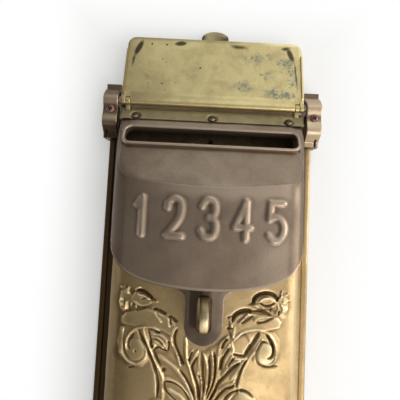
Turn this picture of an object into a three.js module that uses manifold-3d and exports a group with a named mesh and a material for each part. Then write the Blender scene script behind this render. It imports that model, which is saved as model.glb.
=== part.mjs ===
// Wall mounted mailbox: a cast hood with a letter slot over a tall bow-fronted box, a brass
// flap that stands open above the slot, and a hasp on the hood that drops over a staple.
// Millimetres. +X is to the right, +Y goes into the wall, +Z is up.
// The origin is the middle of the back plate's rear face, which lies on the wall.
import * as THREE from 'three';
import { mergeVertices } from 'three/addons/utils/BufferGeometryUtils.js';
import Module from 'manifold-3d';

const wasm = await Module();
wasm.setup();

// ---- Driving sizes -------------------------------------------------------------------------

// Fits
const seatGap = 0.3; // between two pieces that rest on each other
const runGap = 0.25; // round a turning or passing shank
const sideGap = 0.4; // beside a piece that swings past another

// Back plate and the box in front of it
const plateWidth = 176;
const plateHeight = 336;
const plateThickness = 1.6;
const plateCorner = 8;
const flangeWidth = 13.4; // each side of the box, out to the plate's edge
const boxDepth = 42;
const boxBow = 5;
const boxCorner = 14;
const boxWall = 1.8;
const boxChin = 24; // radius of the rounded lower front edge
const boxFoot = 12; // bottom of the box above the plate's lower edge
const mouthRearDrop = 24; // box sides start this far under the hinge line, at the wall
const mouthFrontDrop = 98; // top edge of the box front under the hinge line
const flangeThickness = 2.4;
const beadWidth = 5;
const beadHeight = 1.9;

// Cast ornament on the box front, between the hood and the foot of the box
const scrollRise = 2.2; // scrolls and leaf ribs above the sheet
const leafRise = 1.3; // flat leaves, buds and rosettes above the sheet
const rosetteRadius = 8.5;
const eyeRadius = 5;
const bossRadius = 8;

// Hinge line
const hingeRise = 12; // rod above the plate's top edge
const hingeDepth = 18; // rod in front of the wall
const rodRadius = 2;

// Hinge brackets, one at each end of the rod
const bracketWidth = 12.4;
const bracketOverlap = 8.4; // inner side of a bracket from the plate's edge
const blockDepth = 6.4;
const blockTop = 16.5; // above the rod
const blockBottom = 31; // below the rod
const saddleHalf = 4.6;
const saddleLip = 1.6; // metal beside the rod at the saddle's mouth
const strapThickness = 2.2;
const strapTop = 10.5;
const screwDrop = 8; // hinge screw below the rod
const screwHeadRadius = 3.5;
const screwHeadHeight = 2;
const screwShankRadius = 1.7;
const recessWidth = 1.1;
const recessLength = 4.2;
const slitWidth = 1;
const slitLength = 4.4;
const tabCorner = 2;

// Hood
const hoodClearance = 0.9; // inside of the leaning cheeks from each side of the box
const hoodForward = 14; // front of the hood ahead of the box's front
const hoodBow = 3;
const hoodCorner = 13;
const hoodSplay = 4; // the cheeks lean outwards by this much behind the front corners
const splayDepth = 24; // from the wall, where the cheeks stop leaning
const hoodWall = 2;
const hoodTilt = 31; // slope of the hood's top, degrees from upright
const hoodDrop = 150; // lowest point of the front edge under the rod
const hoodCornerDrop = 115; // where the rounded lower corners start
const hoodRear = 6; // rear edge of the cheeks from the wall
const slopeSink = 5.2; // the sloped top lies this far under the rod's own sloped plane
const slopeStart = -2; // upper edge of the sloped top, along the slope from the rod
const lugWidth = 3.6;
const lugRadius = 3.4;

// Letter slot, measured along the slope from the rod
const slotStart = 27.5;
const slotHeight = 16.3;
const slotMargin = 4.5; // from each end of the slot to the hood's side
const slotCorner = 5;
const rimWidth = 2.5;
const rimHeight = 3.6;

// Brass strip along the hood's upper edge
const stripStart = 3.4;
const stripHeight = 12.8;
const stripThickness = 1.2;
const stripInset = 0.5; // from the outside of each cheek
const stripNotch = 4; // cut from the strip's upper corners, beside the hood's lugs
const rivetMargin = 9.3; // outer rivets from the hood's sides
const rivetDrop = 12.8; // along the slope from the rod
const rivetRadius = 3.5;
const rivetHeight = 1.9;
const rivetShankRadius = 1.6;
const rivetTail = 1.2;

// Hasp on the hood, and the staple that it drops over
const haspWidth = 28;
const haspThickness = 3;
const haspReach = 25; // centre of the hasp's round end under the hood's lowest edge
const haspFillet = 6.5;
const haspSlotWidth = 9.8;
const haspSlotHeight = 26.2;
const stapleReach = 16.5; // staple centre under the hood's lowest edge
const stapleRadius = 12.2;
const stapleThickness = 4.6;
const stapleWidth = 6.5;
const stapleBevel = 1.4;
const stapleStem = 18; // straight part in front of the box
const stapleTail = 3.2; // riveted ends inside the box
const washerThickness = 1.6;
const washerMargin = 3.5;

// Flap
const flapLength = 60;
const flapOverhang = 3.7; // beyond each side of the hood's front
const flapTaper = 1.5; // each side edge, from the base to the tip
const flapThickness = 1.6;
const flapCorner = 7;
const flapSeat = 0.4; // underside of the shut flap above the slot's rim
const flapBeadRadius = 3.2;
const flapEdgeDrop = 2.4; // turned side edges, clear of the strip when shut
const flapEdgeStart = 7;
const flapEdgeEnd = 48;

// Lift knob, soldered to the flap's outer face near its free edge
const knobWidth = 24;
const knobHeight = 14;
const knobThickness = 4.4;
const knobStandoff = 4.2;
const knobOverhang = 6; // knob centre beyond the flap's free edge
const knobNeckWidth = 9;
const knobNeckLength = 17;
const knobNeckThickness = 1.9;

// Hanger plate inside, with a keyhole for the wall nail
const hangerWidth = 44;
const hangerHeight = 30;
const hangerThickness = 1.6;
const hangerDrop = 33;
const keyholeRadius = 4.5;
const keyholeNeck = 2.2;
const keyholeRise = 8;
const hangerRivetSpacing = 32;
const hangerRivetRadius = 2.6;
const hangerRivetHeight = 1.2;

// Rivets that hold the box's flanges to the back plate, and the lower wall screw hole
const flangeRivetRadius = 1.5;
const flangeRivetTop = 44; // upper pair under the plate's top edge
const flangeRivetBottom = 24; // lower pair above the plate's bottom edge
const wallHoleRadius = 2.7;
const wallHoleRise = 48; // above the plate's bottom edge

// ---- Sizes that follow ---------------------------------------------------------------------

const hingeZ = plateHeight / 2 + hingeRise;
const boxWidth = plateWidth - 2 * flangeWidth;
const hoodWidth = boxWidth + 2 * (hoodClearance + hoodWall - hoodSplay); // at its front
const hoodDepth = boxDepth + hoodForward;
const flapWidth = hoodWidth + 2 * flapOverhang;
const flapTipWidth = flapWidth - 2 * flapTaper;
const slotWidth = hoodWidth - 2 * slotMargin;
const rivetSpacing = hoodWidth / 2 - rivetMargin;
const haspDrop = hoodDrop + haspReach;
const stapleDrop = hoodDrop + stapleReach;
const bracketInner = plateWidth / 2 - bracketOverlap;
const flangeBack = plateThickness + seatGap;
const flangeFront = flangeBack + flangeThickness;
const boxBottom = -plateHeight / 2 + boxFoot;
const boxInnerFront = boxDepth - boxWall;
const tilt = THREE.MathUtils.degToRad(hoodTilt);
const rimTop = slopeSink - rimHeight;
const flapUnder = rimTop - flapSeat;
const flapOver = flapUnder - flapThickness;
const hingeBore = rodRadius + runGap;
const bracketOuter = bracketInner + bracketWidth;
const bracketMiddle = bracketInner + bracketWidth / 2;
const blockBack = flangeFront + seatGap;
const blockFront = blockBack + blockDepth;
const hoodHalf = hoodWidth / 2;
const lugInner = hoodHalf - lugWidth;
const haspFront = hoodDepth - 0.6;
const knobCentre = flapLength + knobOverhang;
const knobReach = knobStandoff + knobThickness - flapOver;
const flapLean = leanToWall();

// The flap stands open, leaning back until its knob meets the wall.
function leanToWall() {
  const knobTop = knobCentre + knobHeight / 2;
  const reach = Math.hypot(knobTop, knobReach);
  return Math.asin((hingeDepth - seatGap) / reach) - Math.atan2(knobReach, knobTop);
}

const sides = [['left', -1], ['right', 1]];
const arcSteps = 6; // chords in each arc of an outline

// ---- Joining and cutting -------------------------------------------------------------------

function solidOf(geometry) {
  const bare = geometry.clone();
  bare.deleteAttribute('normal');
  bare.deleteAttribute('uv');
  const merged = mergeVertices(bare, 1e-4);
  const mesh = new wasm.Mesh({
    numProp: 3,
    vertProperties: new Float32Array(merged.attributes.position.array),
    triVerts: new Uint32Array(merged.index.array),
  });
  return new wasm.Manifold(mesh);
}

function geometryOf(solid) {
  const mesh = solid.getMesh();
  const geometry = new THREE.BufferGeometry();
  geometry.setAttribute('position', new THREE.BufferAttribute(mesh.vertProperties, 3));
  geometry.setIndex(new THREE.BufferAttribute(mesh.triVerts, 1));
  geometry.computeVertexNormals();
  return geometry;
}

function joined(...solids) {
  return solids.reduce((sum, solid) => sum.add(solid));
}

// ---- Extrusions along the object's own directions ------------------------------------------

// An outline's points, each once, with its arcs divided into chords.
function distinct(points) {
  return points.filter((point, index) => {
    const next = points[(index + 1) % points.length];
    return point.distanceTo(next) > 1e-3;
  });
}

function divided(shape) {
  const { shape: edge, holes } = shape.extractPoints(arcSteps);
  const plain = new THREE.Shape(distinct(edge));
  plain.holes = holes.map((hole) => new THREE.Path(distinct(hole)));
  return plain;
}

function extruded(shape, depth, basis, start, bevel = 0) {
  const settings = { depth: depth - 2 * bevel, bevelEnabled: bevel > 0 };
  if (bevel > 0) {
    Object.assign(settings, { bevelThickness: bevel, bevelSize: bevel, bevelOffset: -bevel });
    settings.bevelSegments = 3;
  }
  const geometry = new THREE.ExtrudeGeometry(divided(shape), settings);
  geometry.translate(0, 0, bevel);
  geometry.applyMatrix4(new THREE.Matrix4().makeBasis(...basis));
  geometry.translate(start.x, start.y, start.z);
  return solidOf(geometry);
}

const alongX = new THREE.Vector3(1, 0, 0);
const alongY = new THREE.Vector3(0, 1, 0);
const alongZ = new THREE.Vector3(0, 0, 1);
const towardsRoom = new THREE.Vector3(0, -1, 0);
const downSlope = new THREE.Vector3(0, -Math.sin(tilt), -Math.cos(tilt));
const offSlope = new THREE.Vector3(0, -Math.cos(tilt), Math.sin(tilt));
const intoSlope = offSlope.clone().negate();

// An x-y outline raised from low to high.
function raised(shape, low, high) {
  return extruded(shape, high - low, [alongX, alongY, alongZ], new THREE.Vector3(0, 0, low));
}

// An x-z outline drawn towards the room, from a rear to a front distance off the wall.
function drawnOut(shape, rear, front, bevel = 0) {
  const start = new THREE.Vector3(0, -rear, 0);
  return extruded(shape, front - rear, [alongX, alongZ, towardsRoom], start, bevel);
}

// A y-z outline stretched across, from one x to another.
function stretched(shape, left, right, bevel = 0) {
  const start = new THREE.Vector3(left, 0, 0);
  return extruded(shape, right - left, [alongY, alongZ, alongX], start, bevel);
}

// An outline lying on the slope (x across, y down the slope), sunk from one depth to another
// under the rod's sloped plane. It uses the hood's own frame, which has the rod as its x axis.
function sunk(shape, top, bottom) {
  const start = intoSlope.clone().multiplyScalar(top);
  return extruded(shape, bottom - top, [alongX, downSlope, intoSlope], start);
}

// Round bar along one direction, from a start point.
function bar(radius, length, direction, start, segments = 32) {
  const geometry = new THREE.CylinderGeometry(radius, radius, length, segments);
  geometry.translate(0, length / 2, 0);
  geometry.applyQuaternion(new THREE.Quaternion().setFromUnitVectors(alongY, direction));
  geometry.translate(start.x, start.y, start.z);
  return solidOf(geometry);
}

// ---- Outlines ------------------------------------------------------------------------------

function polygon(points) {
  return new THREE.Shape(points.map(([x, y]) => new THREE.Vector2(x, y)));
}

function rectangle(x, z, width, height) {
  const corners = [[-1, -1], [1, -1], [1, 1], [-1, 1]];
  return polygon(corners.map(([right, up]) => [x + right * width / 2, z + up * height / 2]));
}

function roundedBox(halfWidth, low, high, corner) {
  const shape = new THREE.Shape();
  shape.moveTo(-halfWidth + corner, low);
  shape.lineTo(halfWidth - corner, low);
  shape.absarc(halfWidth - corner, low + corner, corner, -Math.PI / 2, 0);
  shape.absarc(halfWidth - corner, high - corner, corner, 0, Math.PI / 2);
  shape.absarc(-halfWidth + corner, high - corner, corner, Math.PI / 2, Math.PI);
  shape.absarc(-halfWidth + corner, low + corner, corner, Math.PI, 1.5 * Math.PI);
  return shape;
}

// Plan of a bowed front: straight sides, rounded corners and a shallow arc between them.
// front is the most forward y, rear is where the sides end. Splayed sides lean outwards as far as
// splayY and are straight behind it.
function bowedPlan(halfWidth, front, bow, corner, rear, splay = 0, splayY = rear) {
  const cornerX = halfWidth - corner;
  const cornerY = front + bow + corner;
  const arcRadius = (cornerX * cornerX + bow * bow) / (2 * bow);
  const arcAngle = Math.asin(cornerX / arcRadius);
  const shape = new THREE.Shape();
  shape.moveTo(halfWidth + splay, splayY);
  shape.lineTo(halfWidth + splay, rear);
  shape.lineTo(-halfWidth - splay, rear);
  shape.lineTo(-halfWidth - splay, splayY);
  shape.lineTo(-halfWidth, cornerY);
  shape.absarc(-cornerX, cornerY, corner, Math.PI, 1.5 * Math.PI - arcAngle);
  shape.absarc(0, front + arcRadius, arcRadius, 1.5 * Math.PI - arcAngle, 1.5 * Math.PI + arcAngle);
  shape.absarc(cornerX, cornerY, corner, 1.5 * Math.PI + arcAngle, 2 * Math.PI);
  return shape;
}

function circle(x, y, radius) {
  const path = new THREE.Path();
  path.absarc(x, y, radius, 0, 2 * Math.PI, true);
  return path;
}

// Round hole for a nail's head with a narrow neck above it.
function keyhole(z) {
  const spread = Math.asin(keyholeNeck / keyholeRadius);
  const path = new THREE.Path();
  path.absarc(0, z, keyholeRadius, Math.PI / 2 - spread, Math.PI / 2 + spread, true);
  path.absarc(0, z + keyholeRise, keyholeNeck, Math.PI, 0, true);
  return path;
}

// ---- Back plate, box and hanger ------------------------------------------------------------

const keyholeZ = hingeZ - hangerDrop - keyholeRise / 2;
const flangeRivetX = plateWidth / 2 - beadWidth / 2;

function everyFlangeRivet() {
  const high = plateHeight / 2 - flangeRivetTop;
  const low = flangeRivetBottom - plateHeight / 2;
  const heights = [high, (high + low) / 2, low];
  return heights.flatMap((z) => [-1, 1].map((side) => [side * flangeRivetX, z]));
}

function shankHole(x, z, radius, depth = boxDepth) {
  return bar(radius + runGap, depth + 1, towardsRoom, new THREE.Vector3(x, 1, z), 20);
}

// Sheet with the back plate's outline: a rounded rectangle with a tab up behind each bracket.
function plateSheet(rear, front) {
  const outline = roundedBox(plateWidth / 2, -plateHeight / 2, plateHeight / 2, plateCorner);
  const tabs = sides.map(([, side]) => {
    const [left, right] = bracketSpan(side);
    const tab = roundedBox(bracketWidth / 2, hingeZ - blockBottom, hingeZ + blockTop, tabCorner);
    return drawnOut(tab, rear, front).translate([(left + right) / 2, 0, 0]);
  });
  return joined(drawnOut(outline, rear, front), ...tabs);
}

function cutForFixings(sheet) {
  let cut = sheet;
  for (const [x, z] of everyFlangeRivet()) {
    cut = cut.subtract(shankHole(x, z, flangeRivetRadius));
  }
  for (const [, side] of sides) {
    cut = cut.subtract(shankHole(side * bracketMiddle, hingeZ - screwDrop, screwShankRadius));
  }
  return cut;
}

function backPlate() {
  const openings = new THREE.Shape(keyhole(keyholeZ).getPoints(arcSteps));
  let plate = plateSheet(0, plateThickness).subtract(drawnOut(openings, -1, boxDepth));
  plate = plate.subtract(shankHole(0, wallHoleRise - plateHeight / 2, wallHoleRadius));
  for (const [, side] of sides) {
    const x = side * hangerRivetSpacing / 2;
    plate = plate.subtract(shankHole(x, hingeZ - hangerDrop, rivetShankRadius));
  }
  return cutForFixings(plate);
}

// Side view of the box: rounded chin in front, mouth sloping up to the wall.
function boxSide(front, rear, bottom, chin, frontTop, rearTop) {
  const shape = new THREE.Shape();
  shape.moveTo(rear, bottom);
  shape.lineTo(rear, rearTop);
  shape.lineTo(front, frontTop);
  shape.lineTo(front, bottom + chin);
  shape.absarc(front + chin, bottom + chin, chin, Math.PI, 1.5 * Math.PI);
  return shape;
}

function boxBlock(halfWidth, front, corner, rear, side) {
  const plan = bowedPlan(halfWidth, front, boxBow, corner, rear);
  return raised(plan, -plateHeight, hingeZ).intersect(stretched(side, -plateWidth, plateWidth));
}

function boxShell() {
  const half = boxWidth / 2;
  const mouthFront = hingeZ - mouthFrontDrop;
  const mouthRear = hingeZ - mouthRearDrop;
  const outerSide = boxSide(-boxDepth, -flangeBack, boxBottom, boxChin, mouthFront, mouthRear);
  const innerLow = boxBottom + boxWall;
  const innerSide = boxSide(-boxInnerFront, boxWall, innerLow, boxChin - boxWall, hingeZ, hingeZ);
  const outer = boxBlock(half, -boxDepth, boxCorner, -flangeBack, outerSide);
  const inner = boxBlock(half - boxWall, -boxInnerFront, boxCorner - boxWall, boxWall, innerSide);
  const body = joined(outer, ornament(), flanges(), beads()).subtract(inner);
  return cutForFixings(body).subtract(stapleLegs(runGap));
}

function plateOutline(inset) {
  const half = plateWidth / 2 - inset;
  return roundedBox(half, -plateHeight / 2 + inset, plateHeight / 2, plateCorner - inset / 2);
}

// Centre lines and widths of the scrolls, stems and leaf ribs in one quarter of the ornament, as
// shares of the box's half width, and up from the ornament's middle as shares of its half height.
const ribs = [
  { width: 0.064, line: [[0.308, 0.586], [0.392, 0.645], [0.476, 0.68], [0.588, 0.688], [0.672, 0.674],
    [0.742, 0.634], [0.784, 0.575], [0.796, 0.516], [0.77, 0.468], [0.721, 0.462]] },
  { width: 0.064, line: [[0.651, 0.548], [0.602, 0.484], [0.588, 0.43], [0.623, 0.382], [0.693, 0.362],
    [0.77, 0.376], [0.84, 0.425], [0.875, 0.495], [0.882, 0.57], [0.868, 0.634]] },
  { width: 0.07, line: [[0.644, 0.634], [0.602, 0.559], [0.56, 0.495], [0.49, 0.419], [0.434, 0.355],
    [0.406, 0.28], [0.392, 0.194], [0.406, 0.075]] },
  { width: 0.059, line: [[0.406, 0.43], [0.28, 0.366], [0.182, 0.269], [0.098, 0.161], [0.028, 0.065]] },
  { width: 0.05, line: [[0.385, 0.323], [0.308, 0.29], [0.224, 0.226], [0.14, 0.14], [0.056, 0.054]] },
  { width: 0.045, line: [[0.35, 0.473], [0.266, 0.387], [0.217, 0.312]] },
  { width: 0.045, line: [[0.28, 0.629], [0.21, 0.57], [0.182, 0.495], [0.196, 0.376]] },
  { width: 0.05, line: [[0.172, 0.602], [0.157, 0.495], [0.133, 0.387], [0.098, 0.258], [0.042, 0.097]] },
  { width: 0.042, line: [[0.034, 0.495], [0.07, 0.409], [0.064, 0.258], [0.021, 0.086]] },
];
// Outlines of the flat leaf and the bud over each scroll, which the lower half doesn't have.
const leaves = [
  [[0.252, 0.715], [0.336, 0.806], [0.448, 0.849], [0.672, 0.849], [0.84, 0.796], [0.854, 0.731],
    [0.616, 0.726], [0.42, 0.72]],
  [[0.798, 0.914], [0.742, 0.962], [0.644, 0.984], [0.56, 0.957], [0.497, 0.903], [0.574, 0.858],
    [0.7, 0.858], [0.784, 0.871]],
];
const rosette = [0.861, 0.876];
const scrollEye = [0.714, 0.495];
const lowerScroll = [0.434, 0.022];

function ornamentPoint([across, up], side, rise) {
  const middle = (hingeZ - hoodDrop + boxBottom) / 2;
  const halfHeight = (hingeZ - hoodDrop - boxBottom) / 2;
  return new THREE.Vector2(side * across * boxWidth / 2, middle + rise * up * halfHeight);
}

// A rib's outline: its centre line with half the width on each side, narrower towards the ends.
function ribOutline({ width, line }, side, rise) {
  const curve = new THREE.SplineCurve(line.map((point) => ornamentPoint(point, side, rise)));
  const steps = 2 * (line.length - 1);
  const left = [];
  const right = [];
  for (let step = 0; step <= steps; step += 1) {
    const share = step / steps;
    const middle = curve.getPoint(share);
    const heading = curve.getTangent(share);
    const half = width * boxWidth / 4 * (0.3 + 0.7 * Math.sqrt(Math.sin(Math.PI * share)));
    const across = new THREE.Vector2(heading.y, -heading.x).multiplyScalar(half);
    left.push(middle.clone().sub(across));
    right.push(middle.clone().add(across));
  }
  return new THREE.Shape([...left, ...right.reverse()]);
}

function roundBoss(point, radius, side, rise) {
  const middle = ornamentPoint(point, side, rise);
  const start = new THREE.Vector3(middle.x, -boxInnerFront / 2, middle.y);
  return bar(radius, boxDepth, towardsRoom, start, 16);
}

// Everything in front of the box up to a given rise above its own surface.
function proudBlock(rise) {
  const side = boxSide(-boxDepth - rise, -flangeBack, boxBottom, boxChin + rise,
    hingeZ - mouthFrontDrop, hingeZ - mouthRearDrop);
  return boxBlock(boxWidth / 2 + rise, -boxDepth - rise, boxCorner + rise, -flangeBack, side);
}

function ornament() {
  const high = [roundBoss([0, 0], bossRadius, 1, 1)];
  const low = [];
  for (const [, side] of sides) {
    for (const rise of [1, -1]) {
      high.push(...ribs.map((rib) => drawnOut(ribOutline(rib, side, rise), boxDepth / 2, 2 * boxDepth)));
      high.push(roundBoss(scrollEye, eyeRadius, side, rise));
    }
    high.push(roundBoss(lowerScroll, bossRadius, side, 1));
    const outlines = leaves.map((points) => points.map((point) => ornamentPoint(point, side, 1)));
    low.push(...outlines.map((points) => drawnOut(new THREE.Shape(points), boxDepth / 2, 2 * boxDepth)));
    low.push(roundBoss(rosette, rosetteRadius, side, 1));
  }
  return joined(joined(...high).intersect(proudBlock(scrollRise)),
    joined(...low).intersect(proudBlock(leafRise)));
}

function flanges() {
  const sheet = plateSheet(flangeBack, flangeFront);
  const halfInside = boxWidth / 2 - boxWall;
  const low = boxBottom + boxWall;
  const window = rectangle(0, (low + hingeZ) / 2, 2 * halfInside, hingeZ - low);
  return sheet.subtract(drawnOut(window, 0, boxDepth));
}

// Raised bead round the outer edge, stopping under the hinge brackets.
function beads() {
  const front = flangeFront + beadHeight;
  const band = drawnOut(plateOutline(0), flangeFront - seatGap, front);
  const within = drawnOut(plateOutline(beadWidth), 0, boxDepth);
  const beadTop = hingeZ - blockBottom - seatGap;
  const above = rectangle(0, beadTop + plateHeight, 2 * plateWidth, 2 * plateHeight);
  return band.subtract(within).subtract(drawnOut(above, 0, boxDepth));
}

function flangeRivet(x, z) {
  const start = new THREE.Vector3(x, -seatGap, z);
  const length = flangeFront + beadHeight - 2 * seatGap;
  return bar(flangeRivetRadius, length, towardsRoom, start, 20);
}

const hangerBack = plateThickness + seatGap;
const hangerFront = hangerBack + hangerThickness;

function hangerPlate() {
  const middle = hingeZ - hangerDrop;
  const outline = roundedBox(hangerWidth / 2, middle - hangerHeight / 2, middle + hangerHeight / 2, 3);
  outline.holes.push(keyhole(keyholeZ));
  for (const side of [-1, 1]) {
    outline.holes.push(circle(side * hangerRivetSpacing / 2, middle, rivetShankRadius + runGap));
  }
  return drawnOut(outline, hangerBack, hangerFront);
}

// Domed head with a shank behind it, pointing towards the room, head seat at y = 0.
function domedRivet(headRadius, headHeight, shankRadius, shankLength) {
  const profile = [new THREE.Vector2(0, -shankLength), new THREE.Vector2(shankRadius, -shankLength),
    new THREE.Vector2(shankRadius, 0), new THREE.Vector2(headRadius, 0)];
  const steps = 4;
  for (let step = 1; step <= steps; step += 1) {
    const turn = (step / steps) * Math.PI / 2;
    profile.push(new THREE.Vector2(headRadius * Math.cos(turn), headHeight * Math.sin(turn)));
  }
  profile[profile.length - 1].x = 0;
  return new THREE.LatheGeometry(profile, 20);
}

function placed(geometry, direction, seat) {
  const turned = geometry.clone();
  turned.applyQuaternion(new THREE.Quaternion().setFromUnitVectors(alongY, direction));
  turned.translate(seat.x, seat.y, seat.z);
  return solidOf(turned);
}

function hangerRivet(side) {
  const x = side * hangerRivetSpacing / 2;
  const seat = new THREE.Vector3(x, -hangerFront - seatGap, hingeZ - hangerDrop);
  const rivet = domedRivet(hangerRivetRadius, hangerRivetHeight, rivetShankRadius, hangerFront);
  return placed(rivet, towardsRoom, seat);
}

// ---- Staple and its washer -----------------------------------------------------------------

const stapleZ = hingeZ - stapleDrop;
const stapleRoundY = -(boxDepth + stapleStem);
const stapleEndY = -(boxInnerFront - seatGap - washerThickness - stapleTail);

// Side view of the staple: a half ring in front of two straight legs.
function stapleSide(endY) {
  const inner = stapleRadius - stapleThickness;
  const shape = new THREE.Shape();
  shape.moveTo(endY, stapleZ + stapleRadius);
  shape.lineTo(stapleRoundY, stapleZ + stapleRadius);
  shape.absarc(stapleRoundY, stapleZ, stapleRadius, Math.PI / 2, 1.5 * Math.PI);
  shape.lineTo(endY, stapleZ - stapleRadius);
  shape.lineTo(endY, stapleZ - inner);
  shape.lineTo(stapleRoundY, stapleZ - inner);
  shape.absarc(stapleRoundY, stapleZ, inner, 1.5 * Math.PI, Math.PI / 2, true);
  shape.lineTo(endY, stapleZ + inner);
  return shape;
}

function staple() {
  return stretched(stapleSide(stapleEndY), -stapleWidth / 2, stapleWidth / 2, stapleBevel);
}

// The two square holes that the legs pass through.
function stapleLegs(clearance) {
  const offset = stapleRadius - stapleThickness / 2;
  const width = stapleWidth + 2 * clearance;
  const height = stapleThickness + 2 * clearance;
  const legs = [-1, 1].map((side) => rectangle(0, stapleZ + side * offset, width, height));
  return joined(...legs.map((leg) => drawnOut(leg, boxDepth / 2, boxDepth + boxBow)));
}

function stapleWasher() {
  const front = boxInnerFront - seatGap;
  const outline = roundedBox(stapleWidth / 2 + washerMargin, stapleZ - stapleRadius - washerMargin,
    stapleZ + stapleRadius + washerMargin, 2);
  return drawnOut(outline, front - washerThickness, front).subtract(stapleLegs(runGap));
}

// ---- Hinge brackets ------------------------------------------------------------------------

const rodCentre = new THREE.Vector3(0, -hingeDepth, hingeZ);

function bracketBlock(side) {
  const shoulder = blockFront + saddleHalf;
  const lip = rodRadius + saddleLip;
  const points = [[blockBack, -blockBottom], [blockFront, -blockBottom], [blockFront, -saddleHalf],
    [shoulder, -saddleHalf], [hingeDepth, -lip], [hingeDepth, lip], [shoulder, saddleHalf],
    [blockFront, saddleHalf + 2], [blockFront, blockTop], [blockBack, blockTop]];
  const shape = polygon(points.map(([off, up]) => [-off, hingeZ + up]));
  const [left, right] = bracketSpan(side);
  const screwStart = new THREE.Vector3(side * bracketMiddle, 0, hingeZ - screwDrop);
  return stretched(shape, left, right)
    .subtract(rodBar(hingeBore))
    .subtract(bar(screwShankRadius + runGap, hingeDepth * 2, towardsRoom, screwStart, 20));
}

function bracketSpan(side) {
  return side < 0 ? [-bracketOuter, -bracketInner] : [bracketInner, bracketOuter];
}

// Middle line of the strap: it leaves the block, bends over the rod, dips under the screw head,
// bends forward once more and returns to the block. Pairs are (distance off the wall, height).
function strapLine() {
  const contact = blockFront + seatGap + strapThickness / 2;
  const overRod = hingeDepth + hingeBore + seatGap + strapThickness / 2;
  const dip = hingeDepth + strapThickness / 2;
  const points = [[contact, strapTop], [(contact + overRod) / 2, strapTop * 0.72], [overRod, 0.8],
    [dip, -screwDrop], [overRod - 0.4, -2.35 * screwDrop], [(contact + dip) / 2, -blockBottom + 6.5],
    [contact + 0.35, -blockBottom + 4], [contact, -blockBottom]];
  return new THREE.SplineCurve(points.map(([off, up]) => new THREE.Vector2(-off, hingeZ + up)));
}

function bracketStrap(side) {
  const line = strapLine();
  const steps = 36;
  const front = [];
  const back = [];
  for (let step = 0; step <= steps; step += 1) {
    const middle = line.getPoint(step / steps);
    const heading = line.getTangent(step / steps);
    const normal = new THREE.Vector2(heading.y, -heading.x).multiplyScalar(strapThickness / 2);
    front.push(middle.clone().add(normal));
    back.push(middle.clone().sub(normal));
  }
  const shape = new THREE.Shape([...front, ...back.reverse()]);
  const [left, right] = bracketSpan(side);
  const screwStart = new THREE.Vector3(side * bracketMiddle, 0, hingeZ - screwDrop);
  const seatStart = new THREE.Vector3(side * bracketMiddle, -screwSeat, hingeZ - screwDrop);
  return stretched(shape, left, right)
    .subtract(bar(screwShankRadius + runGap, hingeDepth * 2, towardsRoom, screwStart, 20))
    .subtract(bar(screwHeadRadius + runGap, hingeDepth, towardsRoom, seatStart, 28))
    .subtract(strapSlit(side));
}

const screwSeat = hingeDepth + strapThickness - 0.2;

function strapSlit(side) {
  const middle = side * (bracketOuter - bracketWidth / 4);
  const low = hingeZ - blockBottom - strapThickness;
  return drawnOut(rectangle(middle, low, slitWidth, 2 * slitLength), blockFront, hingeDepth * 2);
}

function hingeScrew(side) {
  const seat = new THREE.Vector3(side * bracketMiddle, -screwSeat - seatGap, hingeZ - screwDrop);
  const shank = screwSeat - plateThickness / 2;
  const turned = domedRivet(screwHeadRadius, screwHeadHeight, screwShankRadius, shank);
  const front = screwSeat + screwHeadHeight * 2;
  const rear = screwSeat + seatGap + screwHeadHeight * 0.4;
  const cross = [[recessWidth, recessLength], [recessLength, recessWidth]].map(([wide, high]) => {
    return drawnOut(rectangle(seat.x, seat.z, wide, high), rear, front);
  });
  return placed(turned, towardsRoom, seat).subtract(joined(...cross));
}

function rodBar(radius) {
  const half = bracketOuter - 1;
  return bar(radius, 2 * half, alongX, rodCentre.clone().setX(-half), 32);
}

// ---- Hood, in a frame whose x axis is the rod ----------------------------------------------

const wallY = hingeDepth; // the wall seen from the rod
const hoodFrontY = wallY - hoodDepth;

function onSlope(along, sink) {
  return downSlope.clone().multiplyScalar(along).add(intoSlope.clone().multiplyScalar(sink));
}

function sidePoints(points) {
  return polygon(points.map((point) => [point.y, point.z]));
}

function hoodSolid(halfWidth, frontY, corner, rearY, sink, start) {
  const splayY = wallY - splayDepth;
  const plan = bowedPlan(halfWidth, frontY, hoodBow, corner, rearY, hoodSplay, splayY);
  const reach = 2 * hoodDrop;
  const side = sidePoints([onSlope(start, sink), onSlope(reach, sink),
    new THREE.Vector3(0, rearY, -reach), new THREE.Vector3(0, rearY, -hoodCornerDrop),
    new THREE.Vector3(0, rearY - 2.5, -4 * lugRadius)]);
  return raised(plan, -reach, lugRadius).intersect(stretched(side, -hoodWidth, hoodWidth));
}

// Front view of the hood: rounded lower corners and a shallow curved lower edge.
function hoodFace() {
  const edge = hoodHalf + 1;
  const cheek = edge + hoodSplay;
  const shape = new THREE.Shape();
  shape.moveTo(-cheek, 2 * lugRadius);
  shape.lineTo(-cheek, -hoodCornerDrop);
  shape.lineTo(-edge, -hoodCornerDrop);
  shape.quadraticCurveTo(-hoodHalf * 0.966, -hoodDrop * 0.888, -hoodHalf * 0.735, -hoodDrop * 0.947);
  shape.quadraticCurveTo(-hoodHalf * 0.49, -hoodDrop, 0, -hoodDrop);
  shape.quadraticCurveTo(hoodHalf * 0.49, -hoodDrop, hoodHalf * 0.735, -hoodDrop * 0.947);
  shape.quadraticCurveTo(hoodHalf * 0.966, -hoodDrop * 0.888, edge, -hoodCornerDrop);
  shape.lineTo(cheek, -hoodCornerDrop);
  shape.lineTo(cheek, 2 * lugRadius);
  return shape;
}

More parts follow.
